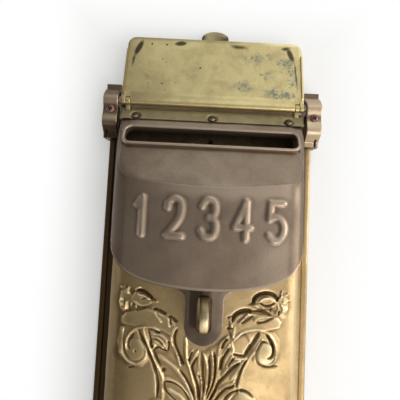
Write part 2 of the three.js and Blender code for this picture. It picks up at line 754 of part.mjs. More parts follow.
function haspTab() {
  const half = haspWidth / 2;
  const top = -hoodDrop + hoodWall * 3;
  const root = half + haspFillet;
  const shape = new THREE.Shape();
  shape.moveTo(-root, top);
  shape.lineTo(-root, -hoodDrop + 1);
  shape.quadraticCurveTo(-half, -hoodDrop, -half, -hoodDrop - haspFillet);
  shape.lineTo(-half, -haspDrop);
  shape.absarc(0, -haspDrop, half, Math.PI, 2 * Math.PI);
  shape.lineTo(half, -hoodDrop - haspFillet);
  shape.quadraticCurveTo(half, -hoodDrop, root, -hoodDrop + 1);
  shape.lineTo(root, top);
  const slotHalf = haspSlotHeight / 2;
  shape.holes.push(roundedBox(haspSlotWidth / 2, -stapleDrop - slotHalf, -stapleDrop + slotHalf, 4));
  return drawnOut(shape, haspFront - haspThickness - wallY, haspFront - wallY);
}

function slotFrame(margin) {
  return roundedBox(slotWidth / 2 + margin, slotStart - margin, slotStart + slotHeight + margin,
    slotCorner + margin);
}

// Lug that carries the hood on the rod, with a neck down to the cheek.
function hoodLug(side) {
  const [left, right] = side < 0 ? [-hoodHalf, -lugInner] : [lugInner, hoodHalf];
  const neck = sidePoints([onSlope(0, -lugRadius * 0.3), onSlope(lugRadius * 0.85, rimTop),
    onSlope(stripStart + stripNotch - 2 * seatGap, slopeSink),
    onSlope(2 * lugRadius, slopeSink + hoodWall), onSlope(slopeStart, slopeSink + hoodWall),
    onSlope(-lugRadius * 0.9, lugRadius)]);
  const round = bar(lugRadius, lugWidth, alongX, new THREE.Vector3(left, 0, 0), 32);
  return joined(round, stretched(neck, left, right));
}

function rivetSeat(index) {
  return onSlope(rivetDrop, stripOver - seatGap).setX((index - 1) * rivetSpacing);
}

const stripUnder = slopeSink - seatGap;
const stripOver = stripUnder - stripThickness;

function hood() {
  const rearY = wallY - hoodRear;
  const outer = hoodSolid(hoodHalf, hoodFrontY, hoodCorner, rearY, slopeSink, slopeStart);
  const inner = hoodSolid(hoodHalf - hoodWall, hoodFrontY + hoodWall, hoodCorner - hoodWall,
    rearY + hoodDepth, slopeSink + hoodWall, -hoodDepth);
  const faced = outer.subtract(inner).intersect(drawnOut(hoodFace(), -2 * hoodDepth, 2 * hoodDepth));
  const rim = sunk(slotFrame(rimWidth), rimTop, slopeSink + hoodWall / 2);
  let body = joined(faced, rim, haspTab(), hoodLug(-1), hoodLug(1));
  body = body.subtract(sunk(slotFrame(0), -rimTop, slopeSink + 4 * hoodWall));
  body = body.subtract(bar(hingeBore, hoodWidth + 2, alongX, new THREE.Vector3(-hoodHalf - 1, 0, 0)));
  for (const index of [0, 1, 2]) {
    body = body.subtract(bar(rivetShankRadius + runGap, 20, intoSlope, rivetSeat(index), 20));
  }
  return body;
}

function hoodStrip() {
  const half = hoodHalf + hoodSplay - stripInset;
  const outline = roundedBox(half, stripStart, stripStart + stripHeight, 1);
  let strip = sunk(outline, stripOver, stripUnder);
  for (const side of [-1, 1]) {
    const middle = side * (lugInner - seatGap + hoodHalf);
    const corner = rectangle(middle, stripStart, hoodWidth, 2 * stripNotch);
    strip = strip.subtract(sunk(corner, -slopeSink, slopeSink));
  }
  for (const index of [0, 1, 2]) {
    strip = strip.subtract(bar(rivetShankRadius + runGap, 20, intoSlope, rivetSeat(index), 20));
  }
  return strip;
}

function stripRivet(index) {
  const shank = seatGap + stripThickness + seatGap + hoodWall + rivetTail;
  const rivet = domedRivet(rivetRadius, rivetHeight, rivetShankRadius, shank);
  return placed(rivet, offSlope, rivetSeat(index));
}

// ---- Flap, in a frame whose x axis is the rod and whose z axis runs to the free edge --------

function flapOutline(inset, low) {
  const base = flapWidth / 2 - inset;
  const tip = flapTipWidth / 2 - inset;
  const corner = Math.max(flapCorner - inset, 1);
  const top = flapLength - inset;
  const shape = new THREE.Shape();
  shape.moveTo(-base, low);
  shape.lineTo(base, low);
  shape.lineTo(tip, top - corner);
  shape.absarc(tip - corner, top - corner, corner, 0, Math.PI / 2);
  shape.absarc(-tip + corner, top - corner, corner, Math.PI / 2, Math.PI);
  return shape;
}

// The turned edges run down both sides of the plate, short of its ends.
function flapEdges() {
  const ring = drawnOut(flapOutline(0, 0), flapUnder - 0.2, flapUnder + flapEdgeDrop)
    .subtract(drawnOut(flapOutline(flapThickness, -1), 0, 2 * flapEdgeDrop + flapUnder));
  const middle = (flapEdgeStart + flapEdgeEnd) / 2;
  const band = rectangle(0, middle, 2 * flapWidth, flapEdgeEnd - flapEdgeStart);
  return ring.intersect(drawnOut(band, 0, 2 * flapEdgeDrop + flapUnder));
}

function flap() {
  const half = flapWidth / 2;
  const plate = drawnOut(flapOutline(0, 0), flapOver, flapUnder);
  const bead = bar(flapBeadRadius, flapWidth, alongX, new THREE.Vector3(-half, 0, 0), 32);
  let body = joined(plate, bead, flapEdges());
  body = body.subtract(bar(hingeBore, flapWidth + 2, alongX, new THREE.Vector3(-half - 1, 0, 0)));
  const reach = lugRadius + sideGap;
  for (const side of [-1, 1]) {
    const [left, right] = side < 0 ? [-hoodHalf, -lugInner] : [lugInner, hoodHalf];
    const notch = rectangle((left + right) / 2, 0, lugWidth + 2 * seatGap, 2 * reach);
    body = body.subtract(drawnOut(notch, -2 * reach, 2 * reach));
  }
  return body;
}

// The knob stands on a short neck whose foot is soldered to the flap's outer face.
function liftKnob() {
  const face = -flapOver + seatGap;
  const seat = -flapOver + knobStandoff;
  const oval = new THREE.Shape();
  oval.absellipse(0, knobCentre, knobWidth / 2, knobHeight / 2, 0, 2 * Math.PI);
  const disc = drawnOut(oval, -seat - knobThickness, -seat, 1.2);
  const foot = flapLength - knobNeckLength + knobOverhang;
  const neck = polygon([[face, foot], [face + knobNeckThickness, foot],
    [seat + 1, flapLength - knobOverhang / 2], [seat + 1, knobCentre + 2],
    [seat - 1, knobCentre + 1], [face, flapLength - knobOverhang / 3]]);
  return disc.add(stretched(neck, -knobNeckWidth / 2, knobNeckWidth / 2));
}

// ---- Scene graph ---------------------------------------------------------------------------

const finishes = {
  brass: { color: 0xb59a5c, roughness: 0.42, metalness: 0.95 },
  bronze: { color: 0x6b5c4c, roughness: 0.45, metalness: 0.9 },
  gilt: { color: 0xa98a5f, roughness: 0.4, metalness: 0.92 },
  copper: { color: 0x8a6a50, roughness: 0.42, metalness: 0.92 },
  steel: { color: 0x8d7f83, roughness: 0.4, metalness: 0.9 },
};

function piece(name, solid, finish) {
  const mesh = new THREE.Mesh(geometryOf(solid), new THREE.MeshStandardMaterial(finishes[finish]));
  mesh.name = name;
  return mesh;
}

function fixedPieces() {
  const group = new THREE.Group();
  group.add(piece('back_plate', backPlate(), 'gilt'));
  group.add(piece('box_shell', boxShell(), 'gilt'));
  group.add(piece('hanger_plate', hangerPlate(), 'brass'));
  group.add(piece('staple', staple(), 'brass'));
  group.add(piece('staple_washer', stapleWasher(), 'brass'));
  group.add(piece('hinge_rod', rodBar(rodRadius), 'brass'));
  everyFlangeRivet().forEach(([x, z], index) => {
    group.add(piece(`flange_rivet_${index + 1}`, flangeRivet(x, z), 'gilt'));
  });
  for (const [word, side] of sides) {
    group.add(piece(`hanger_rivet_${word}`, hangerRivet(side), 'brass'));
    group.add(piece(`hinge_block_${word}`, bracketBlock(side), 'copper'));
    group.add(piece(`hinge_strap_${word}`, bracketStrap(side), 'copper'));
    group.add(piece(`hinge_screw_${word}`, hingeScrew(side), 'steel'));
  }
  return group;
}

function flapPieces() {
  const group = new THREE.Group();
  group.rotation.x = -flapLean;
  group.add(piece('flap', flap(), 'brass'));
  group.add(piece('lift_knob', liftKnob(), 'brass'));
  return group;
}

function hoodPieces() {
  const group = new THREE.Group();
  group.position.copy(rodCentre);
  group.add(piece('hood', hood(), 'bronze'));
  group.add(piece('hood_strip', hoodStrip(), 'brass'));
  for (const index of [0, 1, 2]) {
    group.add(piece(`strip_rivet_${index + 1}`, stripRivet(index), 'brass'));
  }
  group.add(flapPieces());
  return group;
}

const mailbox = new THREE.Group();
mailbox.add(fixedPieces());
mailbox.add(hoodPieces());

export default mailbox;
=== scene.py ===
import math

import bmesh
import bpy
import numpy as np
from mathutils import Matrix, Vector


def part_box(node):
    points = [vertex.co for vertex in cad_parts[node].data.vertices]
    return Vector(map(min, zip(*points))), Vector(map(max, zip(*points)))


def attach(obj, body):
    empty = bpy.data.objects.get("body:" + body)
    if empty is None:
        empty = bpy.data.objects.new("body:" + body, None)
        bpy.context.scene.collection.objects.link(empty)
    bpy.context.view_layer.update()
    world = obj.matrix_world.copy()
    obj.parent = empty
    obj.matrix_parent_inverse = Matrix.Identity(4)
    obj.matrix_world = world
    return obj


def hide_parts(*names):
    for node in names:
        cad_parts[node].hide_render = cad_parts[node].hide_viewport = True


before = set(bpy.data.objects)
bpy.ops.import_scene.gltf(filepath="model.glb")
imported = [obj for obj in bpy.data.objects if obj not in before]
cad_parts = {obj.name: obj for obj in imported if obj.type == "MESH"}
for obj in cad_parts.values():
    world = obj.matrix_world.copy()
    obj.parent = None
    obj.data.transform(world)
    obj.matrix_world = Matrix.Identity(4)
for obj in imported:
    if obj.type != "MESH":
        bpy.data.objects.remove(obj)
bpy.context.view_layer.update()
mm = 0.001

# Lengths of the pieces are millimetres off the wall (y = 0 on the wall, negative towards the room)
# and up from the middle of the back plate. Those of the camera, stage and lamps are metres.
rodLow, rodHigh = (np.array(corner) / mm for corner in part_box("hinge_rod"))
hingeY = (rodLow[1] + rodHigh[1]) / 2
hingeZ = (rodLow[2] + rodHigh[2]) / 2
rod = np.array((0.0, hingeY, hingeZ))
print("frame loaded, hinge line at", round(hingeY, 2), round(hingeZ, 2))


# ---- helpers for node trees

# Links a socket to another one, or sets it to a plain value.
def feed(tree, socket, source):
    if hasattr(source, "links"):
        tree.links.new(source, socket)
    else:
        socket.default_value = source


# A node with its settings, and its inputs linked or set.
def addNode(tree, kind, inputs=None, **settings):
    node = tree.nodes.new("ShaderNode" + kind)
    for name, value in settings.items():
        setattr(node, name, value)
    for socket, source in (inputs or {}).items():
        feed(tree, node.inputs[socket], source)
    return node


# Two colours mixed by a share of the second.
def mixColour(tree, share, first, second):
    return addNode(tree, "Mix", {0: share, 6: first, 7: second}, data_type="RGBA").outputs[2]


# One step of arithmetic between sockets and numbers.
def calculate(tree, operation, *values, clamp=False):
    return addNode(tree, "Math", dict(enumerate(values)), operation=operation, use_clamp=clamp).outputs[0]


# A value's range between two limits spread over another range, smoothly unless the kind says otherwise.
def ramp(tree, value, low, high, bottom=0.0, top=1.0, kind="SMOOTHSTEP"):
    inputs = {"Value": value, "From Min": low, "From Max": high, "To Min": bottom, "To Max": top}
    return addNode(tree, "MapRange", inputs, interpolation_type=kind).outputs["Result"]


# Cloudy noise between 0 and 1; a larger size makes it finer.
def noise(tree, vector, size, detail=3.0, roughness=0.55, distortion=0.0):
    inputs = {"Vector": vector, "Scale": size, "Detail": detail, "Roughness": roughness,
              "Distortion": distortion}
    return addNode(tree, "TexNoise", inputs).outputs["Fac"]


# ---- camera, stage and lights

cameraSettings = {
    "place": (-0.0068635, -0.3377587, 0.0740702),
    "turn": (94.40530, -2.74614, -0.22930),
    "lens": 34.65,
}
stageSettings = {
    "wallGap": 0.0012,
    "floor": -1.45,
    "reach": 1.6,
    "wallColour": (0.93, 0.93, 0.925),
    "wallGlow": (0.34, 1.0),  # near the part and away from it
    "floorColour": (0.80, 0.79, 0.77),
    "floorGlow": (0.3, 0.3),
    "glowTop": 0.145,  # the glow grows with the distance above this height, or to either side,
    "glowRange": (0.09, 0.15),  # between these distances
    # patches of painted shade on the wall behind two gaps, where the wall lies in shade: left, right, low,
    # high
    "shades": {"keyhole": (-0.0042, 0.0042, 0.140, 0.157), "hinge": (-0.0805, -0.077, 0.180, 0.185)},
    "shadeColour": (0.05, 0.05, 0.05),
    "shadeLift": 0.0004,  # in front of the wall
}
lampSettings = {
    "key": {"place": (0.50, -0.72, -0.68), "size": 0.6, "power": 4.2, "tint": (1.0, 0.965, 0.91)},
    "side": {"place": (0.95, -0.30, 0.10), "size": 0.5, "power": 4.0, "tint": (1.0, 0.97, 0.93)},
    "top": {"place": (0.10, -0.55, 0.85), "size": 0.7, "power": 1.15, "tint": (0.88, 1.0, 0.96)},
    "left": {"place": (-0.95, -0.35, 0.15), "size": 0.7, "power": 0.35, "tint": (0.86, 1.0, 0.95)},
}
lampTarget = (0, -0.03, 0.08)
# Strengths of the world to the left, to the right and at the far left, and where they change from
# one to the next (-1 is due left, 1 due right).
worldSettings = {
    "dark": 0.12, "bright": 1.05, "far": 0.72, "rise": (-0.55, 0.65), "turnBack": (-0.72, -0.84),
    "tint": (1.0, 0.985, 0.965),
}


# An object in the scene that holds the given data.
def addObject(name, data):
    added = bpy.data.objects.new(name, data)
    bpy.context.scene.collection.objects.link(added)
    return added


# A pinhole camera: its place in metres and its turn in degrees.
def addCamera(settings):
    data = bpy.data.cameras.new("camera")
    data.lens = settings["lens"]
    data.sensor_width = 36
    data.clip_start = 0.01
    camera = addObject("camera", data)
    camera.location = settings["place"]
    camera.rotation_euler = [math.radians(angle) for angle in settings["turn"]]
    bpy.context.scene.camera = camera


# A plain stage surface. It glows for the camera and for mirror rays by the first share in line with
# the part and the second one away to its sides, and is clear from behind.
def stagePlane(name, corners, colour, glowShares, settings):
    mesh = bpy.data.meshes.new(name)
    mesh.from_pydata(corners, [], [(0, 1, 2, 3)])
    plane = addObject(name, mesh)
    material = bpy.data.materials.new(name)
    material.use_nodes = True
    tree = material.node_tree
    shader = tree.nodes["Principled BSDF"]
    for socket, value in (("Base Color", (*colour, 1)), ("Roughness", 0.9), ("Specular IOR Level", 0.0)):
        shader.inputs[socket].default_value = value
    rays = addNode(tree, "LightPath").outputs
    seen = calculate(tree, "MAXIMUM", rays["Is Camera Ray"], rays["Is Glossy Ray"])
    seen = calculate(tree, "MAXIMUM", seen, rays["Is Transmission Ray"])
    place = addNode(tree, "SeparateXYZ", {0: addNode(tree, "TexCoord").outputs["Object"]}).outputs
    above = calculate(tree, "SUBTRACT", place["Z"], settings["glowTop"])
    apart = calculate(tree, "MAXIMUM", calculate(tree, "ABSOLUTE", place["X"]), above)
    share = calculate(tree, "MULTIPLY", seen, ramp(tree, apart, *settings["glowRange"], *glowShares))
    glow = addNode(tree, "Emission", {"Color": (1, 1, 1, 1), "Strength": 1.0}).outputs["Emission"]
    lit = addNode(tree, "MixShader", {0: share, 1: shader.outputs["BSDF"], 2: glow}).outputs["Shader"]
    clear = addNode(tree, "BsdfTransparent").outputs["BSDF"]
    behind = addNode(tree, "NewGeometry").outputs["Backfacing"]
    through = addNode(tree, "MixShader", {0: behind, 1: lit, 2: clear}).outputs["Shader"]
    tree.links.new(through, tree.nodes["Material Output"].inputs["Surface"])
    mesh.materials.append(material)


# The wall behind the part, dark patches of painted shade on it, and a floor far below.
def addStage(settings):
    reach, wallY, floor = settings["reach"], settings["wallGap"], settings["floor"]

    def upright(left, right, low, high, y):
        return [(left, y, low), (right, y, low), (right, y, high), (left, y, high)]

    level = ((-reach, -reach), (reach, -reach), (reach, wallY), (-reach, wallY))
    ground = [(x, y, floor) for x, y in level]
    stagePlane("backdrop", upright(-reach, reach, floor, reach, wallY), settings["wallColour"],
               settings["wallGlow"], settings)
    # patches of painted shade where the wall behind the gaps lies in shade
    for word, patch in settings["shades"].items():
        stagePlane(f"painted_shade_{word}", upright(*patch, wallY - settings["shadeLift"]),
                   settings["shadeColour"], (0.0, 0.0), settings)
    stagePlane("floor", ground, settings["floorColour"], settings["floorGlow"], settings)


# Square lamps that face the target.
def addLamps(settings, target):
    for name, lamp in settings.items():
        data = bpy.data.lights.new(name, "AREA")
        data.size = lamp["size"]
        data.energy = lamp["power"]
        data.color = lamp["tint"]
        light = addObject(name, data)
        light.location = lamp["place"]
        aim = np.array(target) - np.array(lamp["place"])
        pitch = math.acos(-aim[2] / np.linalg.norm(aim))
        light.rotation_euler = (pitch, 0, math.atan2(aim[1], aim[0]) - math.pi / 2)


# The world is brighter to the right of the part than to its left, and pale again at the far left.
def addWorld(settings):
    world = bpy.data.worlds.new("world")
    bpy.context.scene.world = world
    world.use_nodes = True
    tree = world.node_tree
    side = addNode(tree, "SeparateXYZ", {0: addNode(tree, "TexCoord").outputs["Generated"]}).outputs["X"]
    near = ramp(tree, side, *settings["rise"], settings["dark"], settings["bright"])
    far = ramp(tree, side, *settings["turnBack"], 0.0, settings["far"])
    back = tree.nodes["Background"].inputs
    feed(tree, back["Strength"], calculate(tree, "MAXIMUM", near, far))
    back["Color"].default_value = (*settings["tint"], 1)


addCamera(cameraSettings)
addStage(stageSettings)
addLamps(lampSettings, lampTarget)
addWorld(worldSettings)
bpy.context.scene.view_settings.view_transform = "Standard"
print("camera, stage and lights ready")


# ---- finishes

metalColours = ("Metal", "Tarnish", "RubbedAndLit", "GrimeAndShade", "Fleck")
# The group's numbers, and the setting of a finish that each one takes.
metalNumbers = {"Blotch Scale": "blotch", "Tarnish Amount": "tarnishAmount", "Mottle Amount": "mottle",
                "Fleck Amount": "flecks", "Rub Amount": "rub", "Smooth": "smooth", "Rough": "rough",
                "Scratch Turn": "scratchTurn"}
grainSettings = {"mottle": 95.0, "grain": 700.0, "specks": 420.0, "patches": 55.0}  # noise scales
scratchSettings = {"down": (900.0, 300.0, 42.0), "across": (38.0, 300.0, 800.0)}  # stretch of the noise


# Aged metal: broad blotches and finer mottling darken the metal. The wear mark above zero rubs it
# bright, for rubbed crests and for painted highlights, and below zero darkens it, for grime in hollows
# and for painted shade. Painted stains darken it, on the left flange as painted shade, and pale flecks
# of corrosion gather where "bloom" is high. Fine scratches run along one direction.
def agedMetalGroup():
    group = bpy.data.node_groups.new("agedMetal", "ShaderNodeTree")
    for way, kind, labels in (("INPUT", "Color", metalColours), ("INPUT", "Float", metalNumbers),
                              ("OUTPUT", "Color", ("Color",)),
                              ("OUTPUT", "Float", ("Roughness", "Height", "Metallic"))):
        for label in labels:
            group.interface.new_socket(label, in_out=way, socket_type="NodeSocket" + kind)
    given = group.nodes.new("NodeGroupInput").outputs
    out = group.nodes.new("NodeGroupOutput").inputs

    def times(first, second):
        return calculate(group, "MULTIPLY", first, second)

    def plus(first, second, clamp=False):
        return calculate(group, "ADD", first, second, clamp=clamp)

    def between(value, *limits):
        return ramp(group, value, *limits)

    def stretched(scale):
        return addNode(group, "Mapping", {"Vector": place, "Scale": scale}).outputs["Vector"]

    def painted(label):
        return addNode(group, "Attribute", attribute_name=label).outputs["Fac"]

    place = addNode(group, "TexCoord").outputs["Object"]
    blotch = noise(group, place, given["Blotch Scale"], 4.0, 0.55, 0.7)
    mottle = noise(group, place, grainSettings["mottle"], 5.0, 0.62, 0.4)
    grain = noise(group, place, grainSettings["grain"], 3.0, 0.6)
    specks = noise(group, place, grainSettings["specks"], 4.0, 0.7)
    patches = noise(group, place, grainSettings["patches"], 4.0, 0.6)
    lines = addNode(group, "Mix", {0: given["Scratch Turn"], 4: stretched(scratchSettings["down"]),
                                   5: stretched(scratchSettings["across"])}, data_type="VECTOR")
    scratch = noise(group, lines.outputs[1], 1.0, 2.0, 0.5)
    wearAndPaintedLight, stain, bloom = painted("wearAndPaintedLight"), painted("stain"), painted("bloom")

    dulled = plus(times(between(blotch, 0.38, 0.68), given["Tarnish Amount"]),
                  times(between(mottle, 0.40, 0.66), given["Mottle Amount"]), clamp=True)
    # the wear mark darkens hollows as grime and as painted shade, and lightens crests as rubbing and as
    # painted highlights
    hollowAndShade = between(times(wearAndPaintedLight, -1.0), 0.03, 0.75)
    crest = times(between(wearAndPaintedLight, 0.04, 0.55), given["Rub Amount"])
    # stains, and on the left flange painted shade
    marked = times(between(plus(stain, times(mottle, 0.5)), 0.42, 0.95), between(stain, 0.0, 0.25))
    flecked = plus(given["Fleck Amount"], bloom)
    dots = plus(plus(times(specks, 1.2), times(patches, 0.7)), times(flecked, 0.3))
    dotted = times(between(dots, 1.20, 1.36, 0.0, 0.9), between(flecked, 0.0, 0.2))
    washed = times(between(bloom, 0.2, 1.0, 0.0, 0.4), between(mottle, 0.35, 0.65))

    colour = given["Metal"]
    for share, label in ((dulled, "Tarnish"), (times(hollowAndShade, 0.85), "GrimeAndShade"), (crest, "RubbedAndLit"),
                         (times(between(scratch, 0.62, 0.78), 0.12), "RubbedAndLit"), (marked, "GrimeAndShade"),
                         (between(grain, 0.5, 0.7, 0.0, 0.12), "GrimeAndShade"), (washed, "Fleck"),
                         (dotted, "Fleck")):
        colour = mixColour(group, share, colour, given[label])

    uneven = plus(times(dulled, 0.55), times(grain, 0.45))
    coarse = plus(calculate(group, "MAXIMUM", uneven, hollowAndShade), dotted, clamp=True)
    rough = ramp(group, coarse, 0.0, 1.0, given["Smooth"], given["Rough"], kind="LINEAR")
    relief = plus(times(mottle, 0.55), times(grain, 0.22))
    relief = plus(calculate(group, "SUBTRACT", relief, times(scratch, 0.06)), times(dotted, 0.35))
    metallic = calculate(group, "SUBTRACT", 1.0, times(dotted, 0.7))
    for label, value in (("Color", colour), ("Roughness", rough), ("Height", relief),
                         ("Metallic", metallic)):
        group.links.new(value, out[label])
    return group


agedMetal = agedMetalGroup()
# What a finish takes where it says nothing of its own.
plainFinish = {"blotch": 16.0, "tarnishAmount": 0.6, "mottle": 0.4, "flecks": 0.0, "rub": 0.8, "rough": 0.6,
               "scratchTurn": 0.0, "bump": 0.25}


# A material of the aged metal with a finish's colours and numbers, and a fine bump of its height.
def metalFinish(name, settings):
    settings = {**plainFinish, **settings}
    material = bpy.data.materials.new(name)
    material.use_nodes = True
    tree = material.node_tree
    shader = tree.nodes["Principled BSDF"]
    aged = addNode(tree, "Group", node_tree=agedMetal)
    for label in metalColours:
        aged.inputs[label].default_value = (*settings[label.lower()], 1)
    for label, key in metalNumbers.items():
        aged.inputs[label].default_value = settings[key]
    bump = addNode(tree, "Bump", {"Strength": settings["bump"], "Distance": 0.0006,
                                  "Height": aged.outputs["Height"]})
    for label, source in (("Base Color", aged.outputs["Color"]), ("Roughness", aged.outputs["Roughness"]),
                          ("Metallic", aged.outputs["Metallic"]), ("Normal", bump.outputs["Normal"])):
        tree.links.new(source, shader.inputs[label])
    return material


finishSettings = {
    "giltBrass": {
        "metal": (0.56, 0.405, 0.21), "tarnish": (0.36, 0.255, 0.128), "rubbedandlit": (0.84, 0.70, 0.44),
        "grimeandshade": (0.09, 0.056, 0.026), "fleck": (0.34, 0.33, 0.22), "smooth": 0.36, "mottle": 0.35,
        "bump": 0.32, "rub": 0.75},
    "insideBrass": {
        "metal": (0.20, 0.15, 0.085), "tarnish": (0.11, 0.08, 0.045), "rubbedandlit": (0.40, 0.31, 0.19),
        "grimeandshade": (0.04, 0.03, 0.018), "fleck": (0.20, 0.20, 0.15), "smooth": 0.4, "rough": 0.65,
        "tarnishAmount": 0.7, "flecks": 0.15},
    "yellowBrass": {
        "metal": (0.60, 0.488, 0.25), "tarnish": (0.42, 0.334, 0.167), "rubbedandlit": (0.899, 0.753, 0.45),
        "grimeandshade": (0.085, 0.066, 0.042), "fleck": (0.20, 0.225, 0.175), "smooth": 0.32, "rough": 0.55,
        "tarnishAmount": 0.45, "mottle": 0.35, "bump": 0.18, "scratchTurn": 0.6},
    "stripBrass": {
        "metal": (0.336, 0.273, 0.154), "tarnish": (0.224, 0.182, 0.105), "rubbedandlit": (0.588, 0.49, 0.28),
        "grimeandshade": (0.05, 0.04, 0.024), "fleck": (0.22, 0.24, 0.17), "smooth": 0.36, "flecks": 0.12},
    "dullBrass": {
        "metal": (0.51, 0.413, 0.232), "tarnish": (0.315, 0.247, 0.143), "rubbedandlit": (0.92, 0.765, 0.48),
        "grimeandshade": (0.06, 0.045, 0.025), "fleck": (0.30, 0.31, 0.23), "smooth": 0.34, "tarnishAmount": 0.7},
    "darkBronze": {
        "metal": (0.291, 0.223, 0.166), "tarnish": (0.213, 0.157, 0.114), "rubbedandlit": (0.504, 0.408, 0.314),
        "grimeandshade": (0.06, 0.042, 0.03), "fleck": (0.30, 0.26, 0.19), "smooth": 0.38, "rough": 0.55,
        "mottle": 0.3, "blotch": 22.0, "bump": 0.2, "rub": 0.6},
    "copperBrown": {
        "metal": (0.23, 0.157, 0.102), "tarnish": (0.136, 0.092, 0.06), "rubbedandlit": (0.62, 0.485, 0.335),
        "grimeandshade": (0.045, 0.03, 0.02), "fleck": (0.22, 0.21, 0.16), "smooth": 0.3, "rough": 0.55,
        "blotch": 60.0},
    "screwSteel": {
        "metal": (0.27, 0.156, 0.138), "tarnish": (0.162, 0.081, 0.066), "rubbedandlit": (0.567, 0.4, 0.372),
        "grimeandshade": (0.03, 0.018, 0.018), "fleck": (0.26, 0.15, 0.10), "smooth": 0.32, "rough": 0.55,
        "blotch": 120.0},
}
# the hasp's copy has a darker grime colour, for the painted shade and painted shadow on it
finishSettings["shadedHaspBronze"] = {**finishSettings["darkBronze"], "grimeandshade": (0.028, 0.016, 0.012)}
finishes = {name: metalFinish(name, settings) for name, settings in finishSettings.items()}
print("finishes ready")

nodeFinishes = {
    "insideBrass": ["back_plate", "hanger_plate"],
    "giltBrass": ["box_shell"] + [f"flange_rivet_{n}" for n in range(1, 7)],
    "dullBrass": ["hanger_rivet_left", "hanger_rivet_right", "staple_washer", "hinge_rod", "lift_knob"],
    "yellowBrass": ["staple", "flap"],
    "stripBrass": ["hood_strip"] + [f"strip_rivet_{n}" for n in range(1, 4)],
    "copperBrown": [f"hinge_{kind}_{word}" for kind in ("block", "strap") for word in ("left", "right")],
    "darkBronze": ["hood"],
    "screwSteel": ["hinge_screw_left", "hinge_screw_right"],
}
for finish, names in nodeFinishes.items():
    for name in names:
        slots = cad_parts[name].data.materials
        slots.clear()
        slots.append(finishes[finish])


# ---- surfaces

# Puts points (millimetres) and sets of faces into a mesh that rides on a body. Edges sharper than the
# angle stay sharp. The wear mark, which holds real wear and also painted shade and painted highlights,
# and the other marks tell the finish what to show.
def addPiece(name, points, faceSets, body, finish, slot, replaced, wearAndPaintedLight, sharp=40, **marks):
    mesh = bpy.data.meshes.new(name)
    mesh.vertices.add(len(points))
    mesh.vertices.foreach_set("co", (points * mm).astype(np.float32).ravel())
    sizes = np.concatenate([np.full(len(faces), faces.shape[1]) for faces in faceSets])
    corners = np.concatenate([faces.ravel() for faces in faceSets])
    mesh.loops.add(len(corners))
    mesh.loops.foreach_set("vertex_index", corners.astype(np.int32))
    mesh.polygons.add(len(sizes))
    mesh.polygons.foreach_set("loop_start", (np.cumsum(sizes) - sizes).astype(np.int32))
    mesh.update(calc_edges=True)
    mesh.validate()
    for label, values in {"wearAndPaintedLight": wearAndPaintedLight, **marks}.items():
        layer = mesh.attributes.new(label, "FLOAT", "POINT")
        layer.data.foreach_set("value", np.asarray(values, np.float32).ravel())
    faced = bmesh.new()
    faced.from_mesh(mesh)
    bmesh.ops.recalc_face_normals(faced, faces=faced.faces)
    faced.to_mesh(mesh)
    faced.free()
    mesh.shade_smooth()
    mesh.set_sharp_from_angle(angle=math.radians(sharp))
    mesh.materials.append(finishes[finish])
    piece = addObject(name, mesh)
    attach(piece, body)
    if replaced:
        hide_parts(*replaced)


# Four-cornered faces between the neighbours of a grid of point numbers.
def gridFaces(index):
    return np.stack([index[:-1, :-1], index[1:, :-1], index[1:, 1:], index[:-1, 1:]], -1).reshape(-1, 4)


# Rises from 0 at the low value to 1 at the high one with level ends: three t squared less two t cubed.
def smoothStep(value, low, high):
    share = np.clip((value - low) / (high - low), 0, 1)
    return share * share * (3 - 2 * share)


# Several closed parts as one set of points and faces.
def gathered(*parts):
    starts = np.cumsum([0] + [len(points) for points, _ in parts])
    faceSets = [faces + start for (_, partFaces), start in zip(parts, starts) for faces in partFaces]
    sizes = sorted({faces.shape[1] for faces in faceSets})
    return (np.concatenate([points for points, _ in parts]),
            [np.concatenate([faces for faces in faceSets if faces.shape[1] == size]) for size in sizes])


# Rings of equal length, each closed round and joined to the next. The stack is capped at both ends,
# or its last ring is joined to the first.
def ringStack(rings, looped=False):
    index = np.arange(rings.shape[0] * rings.shape[1]).reshape(rings.shape[:2])
    index = np.concatenate([index, index[:, :1]], 1)
    if looped:
        return rings.reshape(-1, 3), [gridFaces(np.concatenate([index, index[:1]]))]
    return rings.reshape(-1, 3), [gridFaces(index), np.stack([index[0, :-1][::-1], index[-1, :-1]])]


# Surface of revolution: profile pairs are (distance along the axis, radius), both ends capped.
def turnedSolid(profile, centre, axis, around):
    profile = np.asarray(profile, float)
    axis = axis / np.linalg.norm(axis)
    first = np.cross(axis, (0, 0, 1.0))
    first /= np.linalg.norm(first)
    turn = np.linspace(0, 2 * np.pi, around, endpoint=False)[:, None]
    rim = np.cos(turn) * first + np.sin(turn) * np.cross(first, axis)
    return ringStack(centre + profile[:, :1, None] * axis + profile[:, 1:, None] * rim)


# Profile of a round-head rivet, from the end of its shank. The head's height follows a sine and its
# radius a cosine, raised to a power that makes the shoulder fuller.
def domeProfile(radius, height, tail, shank):
    turn = np.linspace(0, np.pi / 2, 9)[:-1]
    head = np.stack([height * np.sin(turn), radius * np.cos(turn) ** 0.85], 1)
    lead = [(-tail, shank), (-0.05, shank), (-0.05, radius - 0.15), (0.0, radius)]
    return np.concatenate([lead, head, [(height, radius * 0.04)]])


# A closed outline, listed either way round, moved inwards along its normals.
def insetOutline(outline, distance):
    after = np.roll(outline, -1, 0)
    along = after - np.roll(outline, 1, 0)
    length = np.maximum(np.linalg.norm(along, axis=1), 1e-9)[:, None]
    normal = np.stack([-along[:, 1], along[:, 0]], 1) / length
    area = np.sum(outline[:, 0] * after[:, 1] - after[:, 0] * outline[:, 1])
    return outline + normal * distance * (1 if area > 0 else -1)


# Length along a line at each of its points.
def runAlong(line):
    return np.concatenate([[0], np.cumsum(np.linalg.norm(np.diff(line, axis=0), axis=1))])


